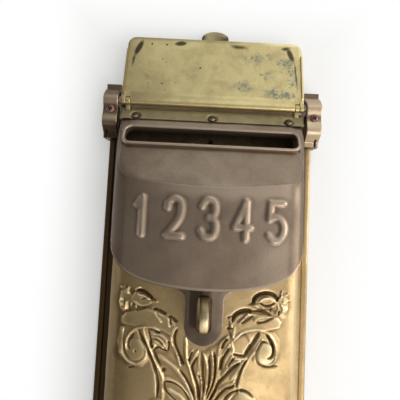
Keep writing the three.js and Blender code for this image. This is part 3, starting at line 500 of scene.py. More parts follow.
# Points at given lengths along a line, straight between its own points.
def pointsAt(line, run, places):
    return np.stack([np.interp(places, run, line[:, axis]) for axis in (0, 1)], 1)


# Rectangle with quarter circles at its corners, listed anticlockwise from the lower right.
def roundedOutline(halfWidth, low, high, radius, steps=8):
    turn = np.linspace(0, np.pi / 2, steps)
    arc = radius * np.stack([np.sin(turn), 1 - np.cos(turn)], 1)
    x, span = halfWidth - radius, high - low - radius
    return np.concatenate([np.stack([x + arc[:, 0], low + arc[:, 1]], 1),
                           np.stack([x + radius - arc[:, 1], low + span + arc[:, 0]], 1),
                           np.stack([-x - arc[:, 0], high - arc[:, 1]], 1),
                           np.stack([-x - radius + arc[:, 1], low + radius - arc[:, 0]], 1)])


# A quarter round of a given radius: how far it lies in from the side, and down from the top.
def quarterRound(radius):
    turn = np.linspace(0, np.pi / 2, 5)
    return radius * (1 - np.cos(turn)), radius * (1 - np.sin(turn))


# Slab with a closed outline and quarter-round edges: toWorld(a, b, height) places the outline's two
# coordinates and the height through the slab.
def slabSolid(outline, low, high, edge, toWorld):
    inward, drop = quarterRound(edge)
    inset = np.concatenate([[edge + 0.2], drop, inward, [edge + 0.2]])
    level = np.concatenate([[low], low + inward, high - drop, [high]])
    return ringStack(np.array([toWorld(*insetOutline(outline, distance).T, np.full(len(outline), height))
                               for distance, height in zip(inset, level)]))


# Frame between two outlines with the same number of points: its section has quarter-round top edges.
def frameSolid(inner, outer, low, high, edge, toWorld):
    width = np.linalg.norm(outer - inner, axis=1).mean()
    inward, drop = quarterRound(edge)
    rise = np.concatenate([[low], high - drop, high - drop[::-1], [low]])
    across = np.concatenate([[0], inward, width - inward[::-1], [width]]) / width
    ring = inner[:, None] + (outer - inner)[:, None] * across[None, :, None]
    rings = toWorld(ring[..., 0], ring[..., 1], np.broadcast_to(rise, ring.shape[:2]))
    return ringStack(rings, looped=True)


# A smooth line through points (Catmull-Rom), a given number of steps to each span.
def smoothLine(points, steps):
    points = np.asarray(points, float)
    ends = np.concatenate([[2 * points[0] - points[1]], points, [2 * points[-1] - points[-2]]])
    share = np.linspace(0, 1, steps, endpoint=False)[:, None]
    spans = [0.5 * (2 * b + (c - a) * share + (2 * a - 5 * b + 4 * c - d) * share ** 2
                    + (3 * b - a - 3 * c + d) * share ** 3)
             for a, b, c, d in zip(ends[:-3], ends[1:-2], ends[2:-1], ends[3:])]
    return np.concatenate(spans + [points[-1:]])


# Distance to a line's nearest segment, which side of it a place lies on (positive to the left), and
# how far along the line that is (0 to 1).
def besideLine(x, z, line):
    steps, run = np.linalg.norm(np.diff(line, axis=0), axis=1), runAlong(line)
    nearest = np.full(x.shape, 1e9)
    side, along = np.zeros(x.shape), np.zeros(x.shape)
    for (ax, az), (bx, bz), length, start in zip(line[:-1], line[1:], steps, run):
        if length < 1e-9:
            continue
        dx, dz = (bx - ax) / length, (bz - az) / length
        reach = np.clip((x - ax) * dx + (z - az) * dz, 0, length)
        offX, offZ = x - ax - reach * dx, z - az - reach * dz
        away = np.hypot(offX, offZ)
        closer = away < nearest
        nearest = np.where(closer, away, nearest)
        side = np.where(closer, dx * offZ - dz * offX, side)
        along = np.where(closer, (start + reach) / run[-1], along)
    return nearest, side, along


# Which places lie in the rectangle round a line, grown by the reach.
def nearLine(x, z, line, reach=0.0):
    (left, low), (right, high) = line.min(0) - reach, line.max(0) + reach
    return (x > left) & (x < right) & (z > low) & (z < high)


# Ridge over a line, kept where it is higher than what is there. Its height falls from the crest to
# nothing at the width on either side, by the share of the width left, to a power: above 1 the crest
# is sharper. Over the taper (a share of the line) the ends grow lower and narrower by a square root.
def addRidge(relief, x, z, line, height, width, other, taper, power):
    near = nearLine(x, z, line, max(width, other))
    away, side, along = besideLine(x[near], z[near], line)
    ends = np.sqrt(np.clip(along / taper[0], 0, 1)) * np.sqrt(np.clip((1 - along) / taper[1], 0, 1))
    flank = np.where(side >= 0, width, other) * (0.35 + 0.65 * ends) + 1e-6
    share = np.clip(1 - away / flank, 0, 1)
    relief[near] = np.maximum(relief[near], height * (0.3 + 0.7 * ends) * share ** power)


# Raised pad inside a closed outline: it rises from the outline to full height over the edge width. A
# place is inside when a ray from it crosses the outline an odd number of times.
def addPad(relief, x, z, outline, height, edge):
    closed = np.array([*outline, outline[0]], float)
    near = nearLine(x, z, closed)
    px, pz = x[near], z[near]
    inside = np.zeros(px.shape, bool)
    for (ax, az), (bx, bz) in zip(closed[:-1], closed[1:]):
        if az != bz:
            inside ^= ((az > pz) != (bz > pz)) & (px < (bx - ax) * (pz - az) / (bz - az) + ax)
    away = besideLine(px, pz, closed)[0]
    relief[near] = np.maximum(relief[near], np.where(inside, height * smoothStep(away, 0, edge), 0))


# Mean of the values within the radius (in grid steps) along both axes, from running sums.
def blurred(values, radius):
    width = 2 * radius + 1
    for axis in (0, 1):
        pad = [(radius + 1, radius) if a == axis else (0, 0) for a in (0, 1)]
        sums = np.cumsum(np.pad(values, pad, mode="edge"), axis=axis)
        values = (np.take(sums, range(width, sums.shape[axis]), axis)
                  - np.take(sums, range(0, sums.shape[axis] - width), axis)) / width
    return values


# Slow, seeded unevenness of a worked sheet: the mean of some sine waves, each with its own direction,
# phase and length (0.3 to 1 times the longest).
def unevenness(a, b, seed, longest):
    chance = np.random.default_rng(seed)
    total, waves = np.zeros(np.shape(a)), 7
    for _ in range(waves):
        turn, phase = chance.uniform(0, np.pi), chance.uniform(0, 2 * np.pi)
        wave = 2 * np.pi / (longest * chance.uniform(0.3, 1.0))
        total = total + np.sin((a * math.cos(turn) + b * math.sin(turn)) * wave + phase)
    return total / waves


# ---- pockets: the box and the hood

# Centre of a plan's right corner, the radius of its bowed front, and how far round that the corner
# begins. The front is an arc that is as deep as the bow between the two corners.
def planArcs(plan):
    cornerX, cornerY = plan["half"] - plan["corner"], plan["front"] + plan["bow"] + plan["corner"]
    radius = (cornerX ** 2 + plan["bow"] ** 2) / (2 * plan["bow"])
    return cornerX, cornerY, radius, math.asin(cornerX / radius)


# Signed distance from a plan, negative inside: off the flat sides behind the corners, off the front's
# arc in the middle, and off the corner's circle between them.
def bowedDistance(x, y, plan):
    side = np.abs(x)
    cornerX, cornerY, radius, lean = planArcs(plan)
    offX, offY = side - cornerX, y - cornerY
    onFront = np.hypot(side, y - (plan["front"] + radius)) - radius
    onCorner = np.hypot(offX, offY) - plan["corner"]
    return np.where(offY > 0, side - plan["half"],
                    np.where(np.arctan2(offX, -offY) < lean, onFront, onCorner))


# Points round the plan from the left rear to the right rear. The counts are steps along each
# cheek, each half of a corner and the bowed front.
def bowedPath(plan, rear, counts):
    cheek, half, front = counts
    cornerX, cornerY, radius, lean = planArcs(plan)
    turn = np.linspace(np.pi / 2, lean, 2 * half, endpoint=False)
    sweep = np.linspace(-lean, 0, front // 2 + 1)
    left = np.concatenate([
        np.stack([np.full(cheek, -plan["half"]), np.linspace(rear, cornerY, cheek, endpoint=False)], 1),
        np.stack([-cornerX - plan["corner"] * np.sin(turn), cornerY - plan["corner"] * np.cos(turn)], 1),
        np.stack([radius * np.sin(sweep), plan["front"] + radius * (1 - np.cos(sweep))], 1)])
    return np.concatenate([left, left[:-1][::-1] * (-1, 1)])


# The larger of two values, rounded over where they are alike: half of their sum and of the root of
# their difference squared plus the softness squared.
def softMaximum(a, b, softness):
    return (a + b + np.sqrt((a - b) ** 2 + softness ** 2)) / 2


# Moves points along the field's slope until they lie on the level (Newton's steps), and gives the
# slope's direction there.
def settle(points, field, level=0.0):
    rounds, step = 5, 0.01
    for _ in range(rounds):
        value = field(points) - level
        slope = np.stack([(field(points + step * axis) - field(points - step * axis)) / (2 * step)
                          for axis in np.eye(3)], -1)
        points = points - (value / np.maximum((slope ** 2).sum(-1), 0.05))[..., None] * slope
    return points, slope / np.maximum(np.linalg.norm(slope, axis=-1), 1e-6)[..., None]


# Grid over a cap from the borders of its three walls and a straight rear edge: the blends between
# the facing edges are added, less the blend between the four corners.
def capGrid(border, across, deep):
    left, front, right = border[:deep], border[deep - 1:deep - 1 + across], border[::-1][:deep]
    share = (front[:, 0] - front[0, 0]) / (front[-1, 0] - front[0, 0])
    rear = left[0] + share[:, None] * (right[0] - left[0])
    u, v = share[:, None, None], np.linspace(0, 1, deep)[None, :, None]
    return ((1 - v) * rear[:, None] + v * front[:, None] + (1 - u) * left[None] + u * right[None]
            - (1 - u) * (1 - v) * left[0] - u * (1 - v) * right[0]
            - (1 - u) * v * left[-1] - u * v * right[-1])


# Joins the edges round a hole in the cap to the same hole in its lining.
def holeWall(kept, outerIndex, innerIndex, coarser):
    walls = []
    padded = np.pad(kept, 1, constant_values=True)
    for axis, step in enumerate(((0, 1), (1, 0))):
        for end in np.argwhere(np.diff(padded.astype(int), axis=axis) != 0):
            start = end - step
            run = start * coarser + np.arange(coarser + 1)[:, None] * step
            walls.append([*outerIndex[tuple(run.T)], innerIndex[tuple(end)], innerIndex[tuple(start)]])
    return np.array(walls)


# A shell open at the back and at one end. A cap meets three walls: cap is a grid (across, rearwards to
# forwards) and wall a grid (round the plan, away from the cap) whose first row is the cap's border.
# Both settle on the field, and are raised along its slope. The inner surface lies the thickness below
# it and takes every n-th point, and strips of many-cornered faces join the two rims. What lies deeper
# than 0.6 of the thickness is darkened by painted shade. Where the masks (fine, coarse) are false, the
# cap has a hole.
def pocketShell(cap, wall, field, given, raised, masks=None):
    thickness, coarser, deep = given["wall"], given["coarser"], 0.6
    # Points of the two grids with their shared row once, their numbers, and those of the open rim.
    def numbered(cap, wall):
        capIndex = np.arange(cap.shape[0] * cap.shape[1]).reshape(cap.shape[:2])
        wallIndex = np.zeros(wall.shape[:2], int)
        wallIndex[:, 0] = np.concatenate([capIndex[0, :-1], capIndex[:, -1], capIndex[-1, :-1][::-1]])
        rest = wallIndex[:, 1:]
        rest[:] = capIndex.size + np.arange(rest.size).reshape(rest.shape)
        rim = np.concatenate([capIndex[:, 0], wallIndex[-1, 1:], wallIndex[:-1, -1][::-1],
                              wallIndex[0, 1:-1][::-1]])
        return np.concatenate([cap.reshape(-1, 3), wall[:, 1:].reshape(-1, 3)]), capIndex, wallIndex, rim

    outer, capIndex, wallIndex, rim = numbered(cap, wall)
    inner, capInner, wallInner, rimInner = numbered(cap[::coarser, ::coarser], wall[::coarser, ::coarser])
    outer, normals = settle(outer, field)
    inner = settle(inner, field, -thickness)[0]
    heights, wearAndPaintedLight = raised(outer, capIndex, wallIndex)
    start = len(outer)
    capFaces = [gridFaces(capIndex), gridFaces(capInner)]
    if masks is not None:
        capFaces = [faces[mask.ravel()] for faces, mask in zip(capFaces, masks)]
    quads = [capFaces[0], gridFaces(wallIndex), capFaces[1][:, ::-1] + start,
             gridFaces(wallInner)[:, ::-1] + start]
    around = np.append(rim, rim[0])
    lining = np.append(rimInner, rimInner[0]) + start
    runs = np.arange(len(rimInner))[:, None] * coarser + np.arange(coarser + 1)
    strips = np.concatenate([around[runs], lining[1:, None], lining[:-1, None]], 1)
    faces = [np.concatenate(quads), strips]
    if masks is not None:
        faces.append(holeWall(masks[1], capIndex, capInner + start, coarser))
    points = np.concatenate([outer + normals * heights[:, None], inner])
    wearAndPaintedLight = np.concatenate([wearAndPaintedLight, np.zeros(len(inner))])
    return points, faces, np.where(field(points) < -deep * thickness, given["insideShade"], wearAndPaintedLight)


# ---- box: shell with the chased ornament

boxSettings = {
    "plan": {"half": 74.6, "front": -42.0, "bow": 5.0, "corner": 14.0},
    "rear": -1.9,
    "wall": 1.8,
    "bottom": -156.0,
    "chin": 24.0,
    "chinWidth": 0.985,  # share of the plan's width that is left at the bottom
    "chinSoftness": {"most": 3.5, "aside": (4, 30), "down": (100, 128)},
    "mouth": ((-42.0, 82.0), (-1.9, 156.0)),  # top edge at the front and wall: (off the wall, height)
    "steps": (6, 14, 226),
    "chinRows": 12,
    "chasedRows": (74, 200),  # below the ornament's middle and above it
    "chasedTop": 32.0,
    "upperRows": 12,
    "coarser": 4,  # the inner surface takes every fourth point
    # painted shade on the inside of the box
    "insideShade": -0.7,
    "dents": (0.25, 50.0),  # depth and longest wave
}
# The ornament is given up from the hinge line. A ridge is its line, its height, and the widths of its
# left and right flanks; a groove is its line, its depth and its width. The lower half mirrors the
# upper one, without the leaves, buds and flowers over the scrolls.
ornamentSettings = {
    "mirrorHeight": -243.0,
    "fade": (-330.0, -308.0),  # the mirrored half fades out over the chin
    "fadeBelow": -310.0,
    "pads": [
        ([(-64, -183), (-58, -178.5), (-44, -178), (-34, -182), (-38, -192), (-38, -205), (-44, -211.5),
          (-54, -211.5), (-63, -205), (-66, -194)], 0.7, 3.0),
        ([(60, -186), (55, -180), (44, -177.5), (30, -181), (36, -192), (38, -203), (44, -207.5),
          (54, -207.5), (59, -203), (61, -194)], 0.7, 3.0),
        ([(-34, -199), (-24, -198), (-14, -205), (-12, -190), (-4, -193), (0, -197), (0, -243),
          (-24, -232), (-36, -215)], 0.55, 3.0),
        ([(34, -199), (26, -194), (20, -182), (11, -190), (6, -192), (0, -197), (0, -243), (24, -232),
          (32, -215)], 0.55, 3.0),
    ],
    "ridges": [  # right scroll, its stem and leaf
        ([(22, -189.5), (26, -185.5), (30, -182), (36, -180.2), (42, -179.8), (47, -180.8), (51, -183.8),
          (54, -188), (55.6, -193), (55.8, -197.5), (54.6, -202), (50.5, -204.8),
          (46, -203.6)], 1.9, 2.2, 1.3),
        ([(45.3, -186), (41.2, -192.6), (36.3, -199.5), (33, -205.5), (30.8, -211), (29.2, -217),
          (28.7, -222), (29.2, -229)], 1.3, 1.3, 1.1),
        ([(34.5, -200.3), (30.5, -204), (28.3, -208), (25.8, -211.5), (22.2, -216.2)], 1.5, 1.2, 1.8),
        ([(23.5, -201), (29, -200.7), (34, -200.4)], 0.9, 1.0, 1.4),
        ([(23.8, -177), (23.3, -182), (22.2, -188), (23.2, -193), (23.6, -197)], 0.8, 1.0, 1.6),
        ([(23.3, -198.5), (21, -203.5), (18.6, -207.3)], 1.2, 0.8, 1.6),
        ([(29.5, -202.3), (25, -204), (20, -208), (16, -213.5)], 1.5, 1.2, 2.2),
        ([(25, -216.8), (23, -219), (18, -221), (14, -224.5), (10, -230), (6, -236)], 1.8, 1.6, 1.6),
        ([(28.3, -222.5), (24, -223.3), (20, -225.5), (16.5, -229), (11, -236)], 1.6, 1.4, 1.6),
        ([(21, -190), (18.8, -193), (17, -196.5), (15.8, -199.5)], 1.1, 0.9, 0.9),
        # the long leaves in the middle
        ([(19.5, -184.2), (16, -187.3), (13.8, -191), (12.8, -197), (12.6, -205), (12.8, -211),
          (11.6, -217), (9.8, -223), (7, -228.5), (3, -237)], 1.8, 1.3, 1.5),
        ([(7, -195.5), (8.3, -201), (9, -208), (8.8, -214), (7.8, -220), (5, -228),
          (2, -237)], 1.6, 1.3, 1.1),
        ([(0.5, -197), (2.5, -200.5), (4.2, -206), (4.8, -212), (4.6, -219), (4, -225), (1.8, -236)],
         1.7, 1.5, 1.1),
        ([(-0.3, -213.5), (0.6, -218), (1.2, -224), (0.5, -236)], 1.2, 0.9, 1.0),
        ([(-1.5, -199), (-1.5, -206), (-1.8, -211), (-2.5, -215.2)], 1.4, 1.0, 1.3),
        ([(-3, -195.5), (-4.5, -199.5), (-7, -204), (-8.4, -207)], 1.6, 1.3, 1.4),
        ([(-7, -195.5), (-8.8, -198.5), (-9.6, -202)], 1.0, 0.8, 0.9),
        ([(-12.8, -186), (-11.9, -191), (-11.8, -196), (-10.8, -203), (-9.3, -207), (-7.5, -212),
          (-5.6, -218), (-3.6, -224), (-1.8, -236)], 1.9, 1.5, 1.4),
        ([(-32.5, -200.5), (-27, -203.5), (-21, -207.5), (-16, -212), (-11, -218.5), (-7.5, -225),
          (-3.2, -236)], 1.7, 1.3, 3.0),
        ([(-28, -216.8), (-23, -217.5), (-17, -220), (-12, -224), (-8, -228.5),
          (-3.6, -237)], 1.5, 1.2, 2.2),
        ([(-24.5, -224.3), (-19, -226.8), (-14, -229.5), (-6, -238)], 1.4, 1.6, 2.4),
        # left scroll, its stem and leaf
        ([(-32.5, -183.3), (-36, -181.7), (-40, -180.8), (-45, -181.2), (-49.5, -182.7), (-53.5, -185.8),
          (-56.3, -190), (-57.5, -195), (-56.8, -198), (-54.5, -200.6)], 1.9, 1.3, 1.5),
        ([(-60.5, -182), (-62.3, -187), (-62.6, -193), (-61.5, -199), (-59, -203.5), (-55.5, -207),
          (-50, -209), (-46, -207.8), (-42.5, -204.5), (-41.2, -200), (-42.8, -195), (-45.3, -192)],
         1.5, 2.2, 1.2),
        ([(-45, -182), (-43.4, -187), (-40.5, -193.5), (-36.2, -202.8), (-32.5, -209), (-29.8, -213),
          (-28, -217.5), (-28, -224), (-27.5, -231), (-29, -239)], 1.9, 1.2, 1.4),
        ([(-38, -186.3), (-32, -186.5), (-28.5, -188.6), (-26, -191.6)], 1.1, 1.3, 1.0),
        ([(-38.5, -188), (-34, -188.8), (-30.5, -191), (-27.6, -194.8)], 1.3, 0.9, 0.9),
        ([(-37.5, -191.2), (-33, -192.6), (-29, -196)], 1.2, 0.8, 1.0),
        ([(-38, -193), (-35.5, -194), (-37.6, -198)], 1.4, 1.5, 1.5),
        ([(-19.6, -179), (-22, -184), (-22.9, -188), (-22.4, -192), (-19.8, -196), (-17.5, -201),
          (-15.6, -207.5)], 1.8, 1.2, 1.8),
    ],
    "crests": [  # leaves, buds and flowers over the scrolls
        ([(26.3, -174.8), (30, -171.2), (34, -166.8)], 1.9, 1.6, 1.9),
        ([(38, -172.5), (43, -170.3), (50, -169.6)], 1.7, 2.4, 1.7),
        ([(21.6, -171), (20.7, -175), (22, -179)], 0.9, 1.0, 1.2),
        ([(41, -158.6), (44.5, -156), (49, -155.2), (54.5, -157.6)], 1.3, 1.3, 2.4),
        ([(36, -161.2), (41.5, -160.4), (45, -162.8), (49, -163.2), (52.5, -161)], 1.5, 1.0, 1.3),
        ([(60.4, -157.6), (62.9, -161), (63.2, -165.5), (61.3, -169.8)], 1.3, 1.0, 1.1),
        ([(58.8, -160), (60.6, -163), (60.3, -167)], 1.2, 0.9, 1.0),
        ([(56, -159.6), (57, -163.4), (55.4, -167.2)], 1.2, 0.9, 1.2),
        ([(60.6, -156.4), (65.2, -151.6)], 1.3, 1.2, 1.2),
        ([(58.6, -155.6), (60, -149.5)], 1.2, 1.1, 1.1),
        ([(61.6, -157.8), (67, -156.6)], 1.1, 1.1, 1.1),
        ([(-37, -168.3), (-35, -172), (-31.3, -176.8)], 1.2, 1.0, 1.6),
        ([(-27.5, -172), (-26, -176), (-25.6, -180)], 1.0, 1.6, 1.0),
        ([(-53.5, -162.3), (-50, -165), (-46, -165.5), (-42, -164), (-38, -161.6),
          (-35.2, -162)], 1.5, 1.6, 1.1),
        ([(-50.5, -157), (-46, -157.2), (-41.5, -160)], 1.0, 1.2, 1.8),
        ([(-53.5, -162.2), (-52, -164.6), (-51.2, -168.5)], 1.1, 1.0, 1.0),
        ([(-59.2, -163), (-59.8, -169.6)], 1.4, 1.2, 1.2),
        ([(-62, -158), (-64.2, -163), (-62.8, -170.5)], 1.2, 1.0, 1.1),
        ([(-58.6, -157.4), (-58, -151.5)], 1.2, 1.1, 1.1),
        ([(-61, -156.6), (-64.4, -151.6)], 1.2, 1.1, 1.1),
        ([(-53, -154.6), (-49, -151.2)], 1.3, 1.1, 1.1),
    ],
    "leafPads": [
        ([(19, -179), (21.6, -172), (25, -168.4), (31, -166.4), (38, -166.9), (45, -167), (52, -168.8),
          (57, -169.2), (60.6, -173.6), (59.4, -178.5), (50, -180.5), (40, -180), (30, -182), (23, -188)],
         1.1, 1.5),
        ([(-63, -176), (-60, -171), (-52, -168.5), (-45, -166.7), (-38, -167.4), (-30, -170.6),
          (-26, -172), (-20, -176.4), (-19, -180), (-24, -187), (-30, -184), (-40, -180.5), (-52, -182),
          (-61, -181)], 1.0, 1.6),
        ([(32, -162), (37.6, -158), (39.6, -155), (43, -152.8), (49, -152.2), (55, -154.5), (58, -159),
          (53, -163.8), (45, -165), (38, -163.4)], 1.3, 1.7),
        ([(-57, -160), (-53, -154), (-47, -154), (-41, -157.5), (-34.5, -162), (-42, -166), (-50, -166.4),
          (-56, -163)], 1.2, 1.7),
        ([(54, -158), (59, -152), (65, -155), (66, -164), (62, -171.5), (55, -168.5),
          (52, -163)], 0.8, 2.0),
        ([(-54, -158), (-59, -152), (-65, -155), (-66, -164), (-62, -172), (-56, -168.5), (-53, -163)],
         0.8, 2.0),
    ],
    "domes": [(-50.5, -198.5, 8.4, 1.3), (47.6, -197.2, 8.3, 1.9), (0, -243, 9.5, 2.2),
              (-31, -241, 9.0, 1.6), (32.5, -235.4, 10.6, 1.9)],  # x, height, radius, rise
    "eyes": [(-50, -199.2, 1.2, 1.2), (0, -243, 2.4, 1.4), (-31, -241, 1.8, 1.3), (32.5, -236, 2.0, 1.2),
             (-28, -211.3, 1.7, 1.5), (-13.9, -205.6, 1.5, 1.0), (-1.3, -214.9, 0.9, 0.9)],
    "grooves": [
        ([(48, -182), (51, -186), (53.4, -191), (53.8, -196), (52, -199.4), (49, -200.2)], 1.9, 1.5),
        ([(49.6, -188.8), (46, -188.2), (43.6, -190), (41.2, -194.6), (40.6, -198.5), (42.2, -203),
          (46, -206), (52, -206.6), (58, -206)], 1.1, 1.3),
        ([(42.6, -181.6), (40.5, -185.5), (37.5, -190.5), (34, -195.8), (32.4, -199)], 1.9, 1.9),
        ([(34.6, -201.4), (31.8, -206), (29.5, -211.5), (27.6, -217), (26.6, -222)], 1.3, 1.7),
        ([(23.4, -197.8), (28, -198.7), (33, -199.2)], 1.7, 1.4),
        ([(24.4, -200.4), (22, -203.6), (19.8, -207.2)], 1.3, 1.0),
        ([(28.8, -204.4), (24, -207.6), (20, -211.7), (16, -215.8), (12.8, -219.6), (10.6, -225),
          (7, -232)], 1.7, 1.5),
        ([(25.8, -219.5), (23, -221.8), (19, -222.7), (15.5, -226), (12.3, -230), (8, -236)], 1.4, 1.3),
        ([(40, -229), (34, -224.8), (29, -223.9), (24, -225.2), (20, -228.6), (17.6, -233)], 1.6, 1.4),
        ([(18.8, -186.6), (16.2, -189.6), (14.8, -194)], 1.4, 1.0),
        ([(20.6, -193.4), (17.6, -198), (15.3, -203), (14.2, -209.5)], 1.9, 1.6),
        ([(9.2, -196.5), (10.2, -203), (10.6, -210), (9.9, -217), (8.4, -222.5), (5, -230)], 1.4, 1.0),
        ([(5.4, -199), (6.3, -206), (6.7, -213), (6.2, -221), (4.6, -229)], 1.2, 1.0),
        ([(0.6, -202), (1.2, -207), (1.4, -213), (2.5, -219), (2.6, -226)], 1.1, 1.2),
        ([(-3.2, -200.8), (-5.2, -204), (-6.7, -208.2), (-4.4, -215), (-2, -222),
          (-0.8, -231)], 1.5, 1.1),
        ([(-7.2, -196.8), (-8.6, -200), (-9.3, -204)], 1.2, 0.7),
        ([(-19.4, -181.5), (-20.8, -186), (-20.3, -192), (-17.6, -198), (-15, -203), (-13.8, -206.8)],
         1.5, 1.1),
        ([(-16.5, -210.4), (-12, -215.2), (-8.4, -220.8), (-4.8, -228)], 1.3, 1.0),
        ([(-26.6, -219.8), (-21, -220), (-16, -222), (-12, -225.5), (-7, -232)], 1.3, 1.0),
        ([(-27, -219.6), (-26.4, -224), (-24, -228), (-19, -232), (-12, -237)], 1.3, 1.2),
        ([(-48.8, -183.2), (-46.5, -188), (-43, -194.2), (-39.5, -200), (-36.5, -206), (-34.6, -211),
          (-32.6, -217), (-31.6, -224), (-32, -232)], 1.8, 1.6),
        ([(-41.8, -182.5), (-40, -186.5), (-38.6, -192), (-36.6, -197.4), (-33.5, -203.4), (-30.4, -208.4)],
         1.3, 1.1),
        ([(-41, -182.6), (-37, -183.6), (-32, -185)], 1.0, 1.2),
        ([(-36.5, -189.4), (-32.6, -190.6), (-29, -194)], 0.9, 0.6),
        ([(-25.4, -190.4), (-25, -193.5), (-25.3, -197.4)], 1.5, 1.0),
        ([(-37.5, -198.6), (-33.4, -195.6), (-29.5, -196.9), (-25.6, -198)], 1.2, 0.9),
        ([(-52, -186.6), (-54.7, -190.5), (-55.7, -195), (-54, -198.6)], 1.0, 1.4),
        ([(-59.7, -184), (-60.1, -192), (-58.6, -199.5), (-54.6, -204.8)], 0.4, 1.2),
        ([(-55.6, -212), (-50.5, -211.2)], 0.9, 0.8),
    ],
    "cuts": [  # grooves of the leaves, buds and flowers
        ([(21.8, -174), (22.6, -170.6), (26, -167.2), (31, -165.4), (37, -165.9)], 1.9, 2.0),
        ([(36, -165.9), (43, -165.5), (48, -166.6), (52, -168.8)], 1.1, 1.1),
        ([(17.8, -171.4), (21.4, -170.1)], 1.2, 1.2),
        ([(17.8, -179), (22.2, -178.3)], 1.2, 1.1),
        ([(28.6, -175), (33, -172.2), (37.4, -168.6)], 1.2, 1.3),
        ([(40, -174.4), (46, -173.6), (50, -171.8), (53.5, -169.9)], 1.4, 1.2),
        ([(36.9, -159.8), (38.6, -155.6), (42.5, -152.9), (48, -151.9), (53, -153),
          (56.4, -156.8)], 1.9, 1.8),
        ([(42, -159.2), (46, -161.1), (50.5, -160.9), (54.4, -158.9)], 1.3, 1.0),
        ([(58, -164.6), (57.3, -168.6)], 1.2, 0.8),
        ([(51.4, -162.6), (50.8, -165.6)], 1.2, 0.8),
        ([(56.8, -154.4), (55.4, -158)], 1.3, 1.0),
        ([(61.9, -160.2), (61.9, -165)], 1.0, 0.7),
        ([(-38.4, -167.2), (-34, -167.9), (-28, -170.6)], 1.3, 1.3),
        ([(-36, -169.4), (-33.6, -173.6)], 1.0, 0.8),
        ([(-26.2, -171.4), (-24.9, -174.5), (-24.3, -178.4)], 1.3, 1.1),
        ([(-26, -171.5), (-22.5, -173.6), (-19.3, -176.2)], 1.2, 1.2),
        ([(-53, -154.8), (-47, -154.4), (-43, -156.6), (-39, -159.8)], 1.5, 1.6),
        ([(-48, -160.4), (-42.5, -159.2)], 0.8, 0.8),
        ([(-50.6, -165.8), (-50.8, -169.4), (-44, -167)], 0.8, 1.0),
        ([(-61, -160), (-61.6, -169)], 1.1, 0.8),
        ([(-57, -163), (-57, -170)], 1.0, 0.8),
    ],
    "crispness": 1.25,
    "tapers": {"ridges": (0.1, 0.12), "grooves": (0.12, 0.12)},
}


# Height of the chased ornament above the sheet: raised pads, plus ridges and domes on them, less the
# grooves and eyes, blurred a little; and how far each place stands above the mean of its
# surroundings, near and wide. A dome is a half ellipse of its radius and rise.
def ornament(across, up, settings):
    total = np.zeros(across.shape)
    middle, tapers = settings["mirrorHeight"], settings["tapers"]
    for flipped in (False, True):
        z = 2 * middle - up if flipped else up
        part = {kind: settings[kind] + ([] if flipped else settings[extra])
                for kind, extra in (("pads", "leafPads"), ("ridges", "crests"), ("grooves", "cuts"))}
        pads, ridges, cuts = np.zeros((3, *z.shape))
        for outline, height, edge in part["pads"]:
            addPad(pads, across, z, outline, height, edge)
        for line, height, left, right in part["ridges"]:
            addRidge(ridges, across, z, smoothLine(line, 5), height, left, right, tapers["ridges"],
                     settings["crispness"])
        for x, zMiddle, radius, height in settings["domes"]:
            away = np.hypot(across - x, z - zMiddle) / radius
            ridges = np.maximum(ridges, height * np.sqrt(np.clip(1 - away ** 2, 0, 1)))
        for line, depth, width in part["grooves"]:
            addRidge(cuts, across, z, smoothLine(line, 5), depth, width, width, tapers["grooves"], 0.9)
        for x, zMiddle, radius, depth in settings["eyes"]:
            away = np.hypot(across - x, z - zMiddle) / radius
            cuts = np.maximum(cuts, depth * np.clip(1.15 - away, 0, 1))
        total = np.where((up < middle) if flipped else (up >= middle), pads + ridges - cuts, total)
    total = np.where(up < settings["fadeBelow"], total * smoothStep(up, *settings["fade"]), total)
    total = 0.75 * total + 0.25 * blurred(total, 1)
    return total, 0.65 * (total - blurred(total, 3)) + 0.6 * (total - blurred(total, 8))


# Signed distance from the box's outside: the larger of the plan's distance and that from a quarter
# round between the front and the bottom. The fold between the two is soft low down at the sides.
def boxField(points):
    x, y, z = points[..., 0], points[..., 1], points[..., 2]
    plan, chin, soft = boxSettings["plan"], boxSettings["chin"], boxSettings["chinSoftness"]
    frontOff, lowOff = plan["front"] + chin - y, boxSettings["bottom"] + chin - z
    rounded = (np.hypot(np.maximum(frontOff, 0), np.maximum(lowOff, 0))
               + np.minimum(np.maximum(frontOff, lowOff), 0) - chin)
    softness = soft["most"] * smoothStep(np.abs(x), *soft["aside"]) * smoothStep(-z, *soft["down"]) + 1e-3
    return softMaximum(bowedDistance(x, y, plan), rounded, softness)


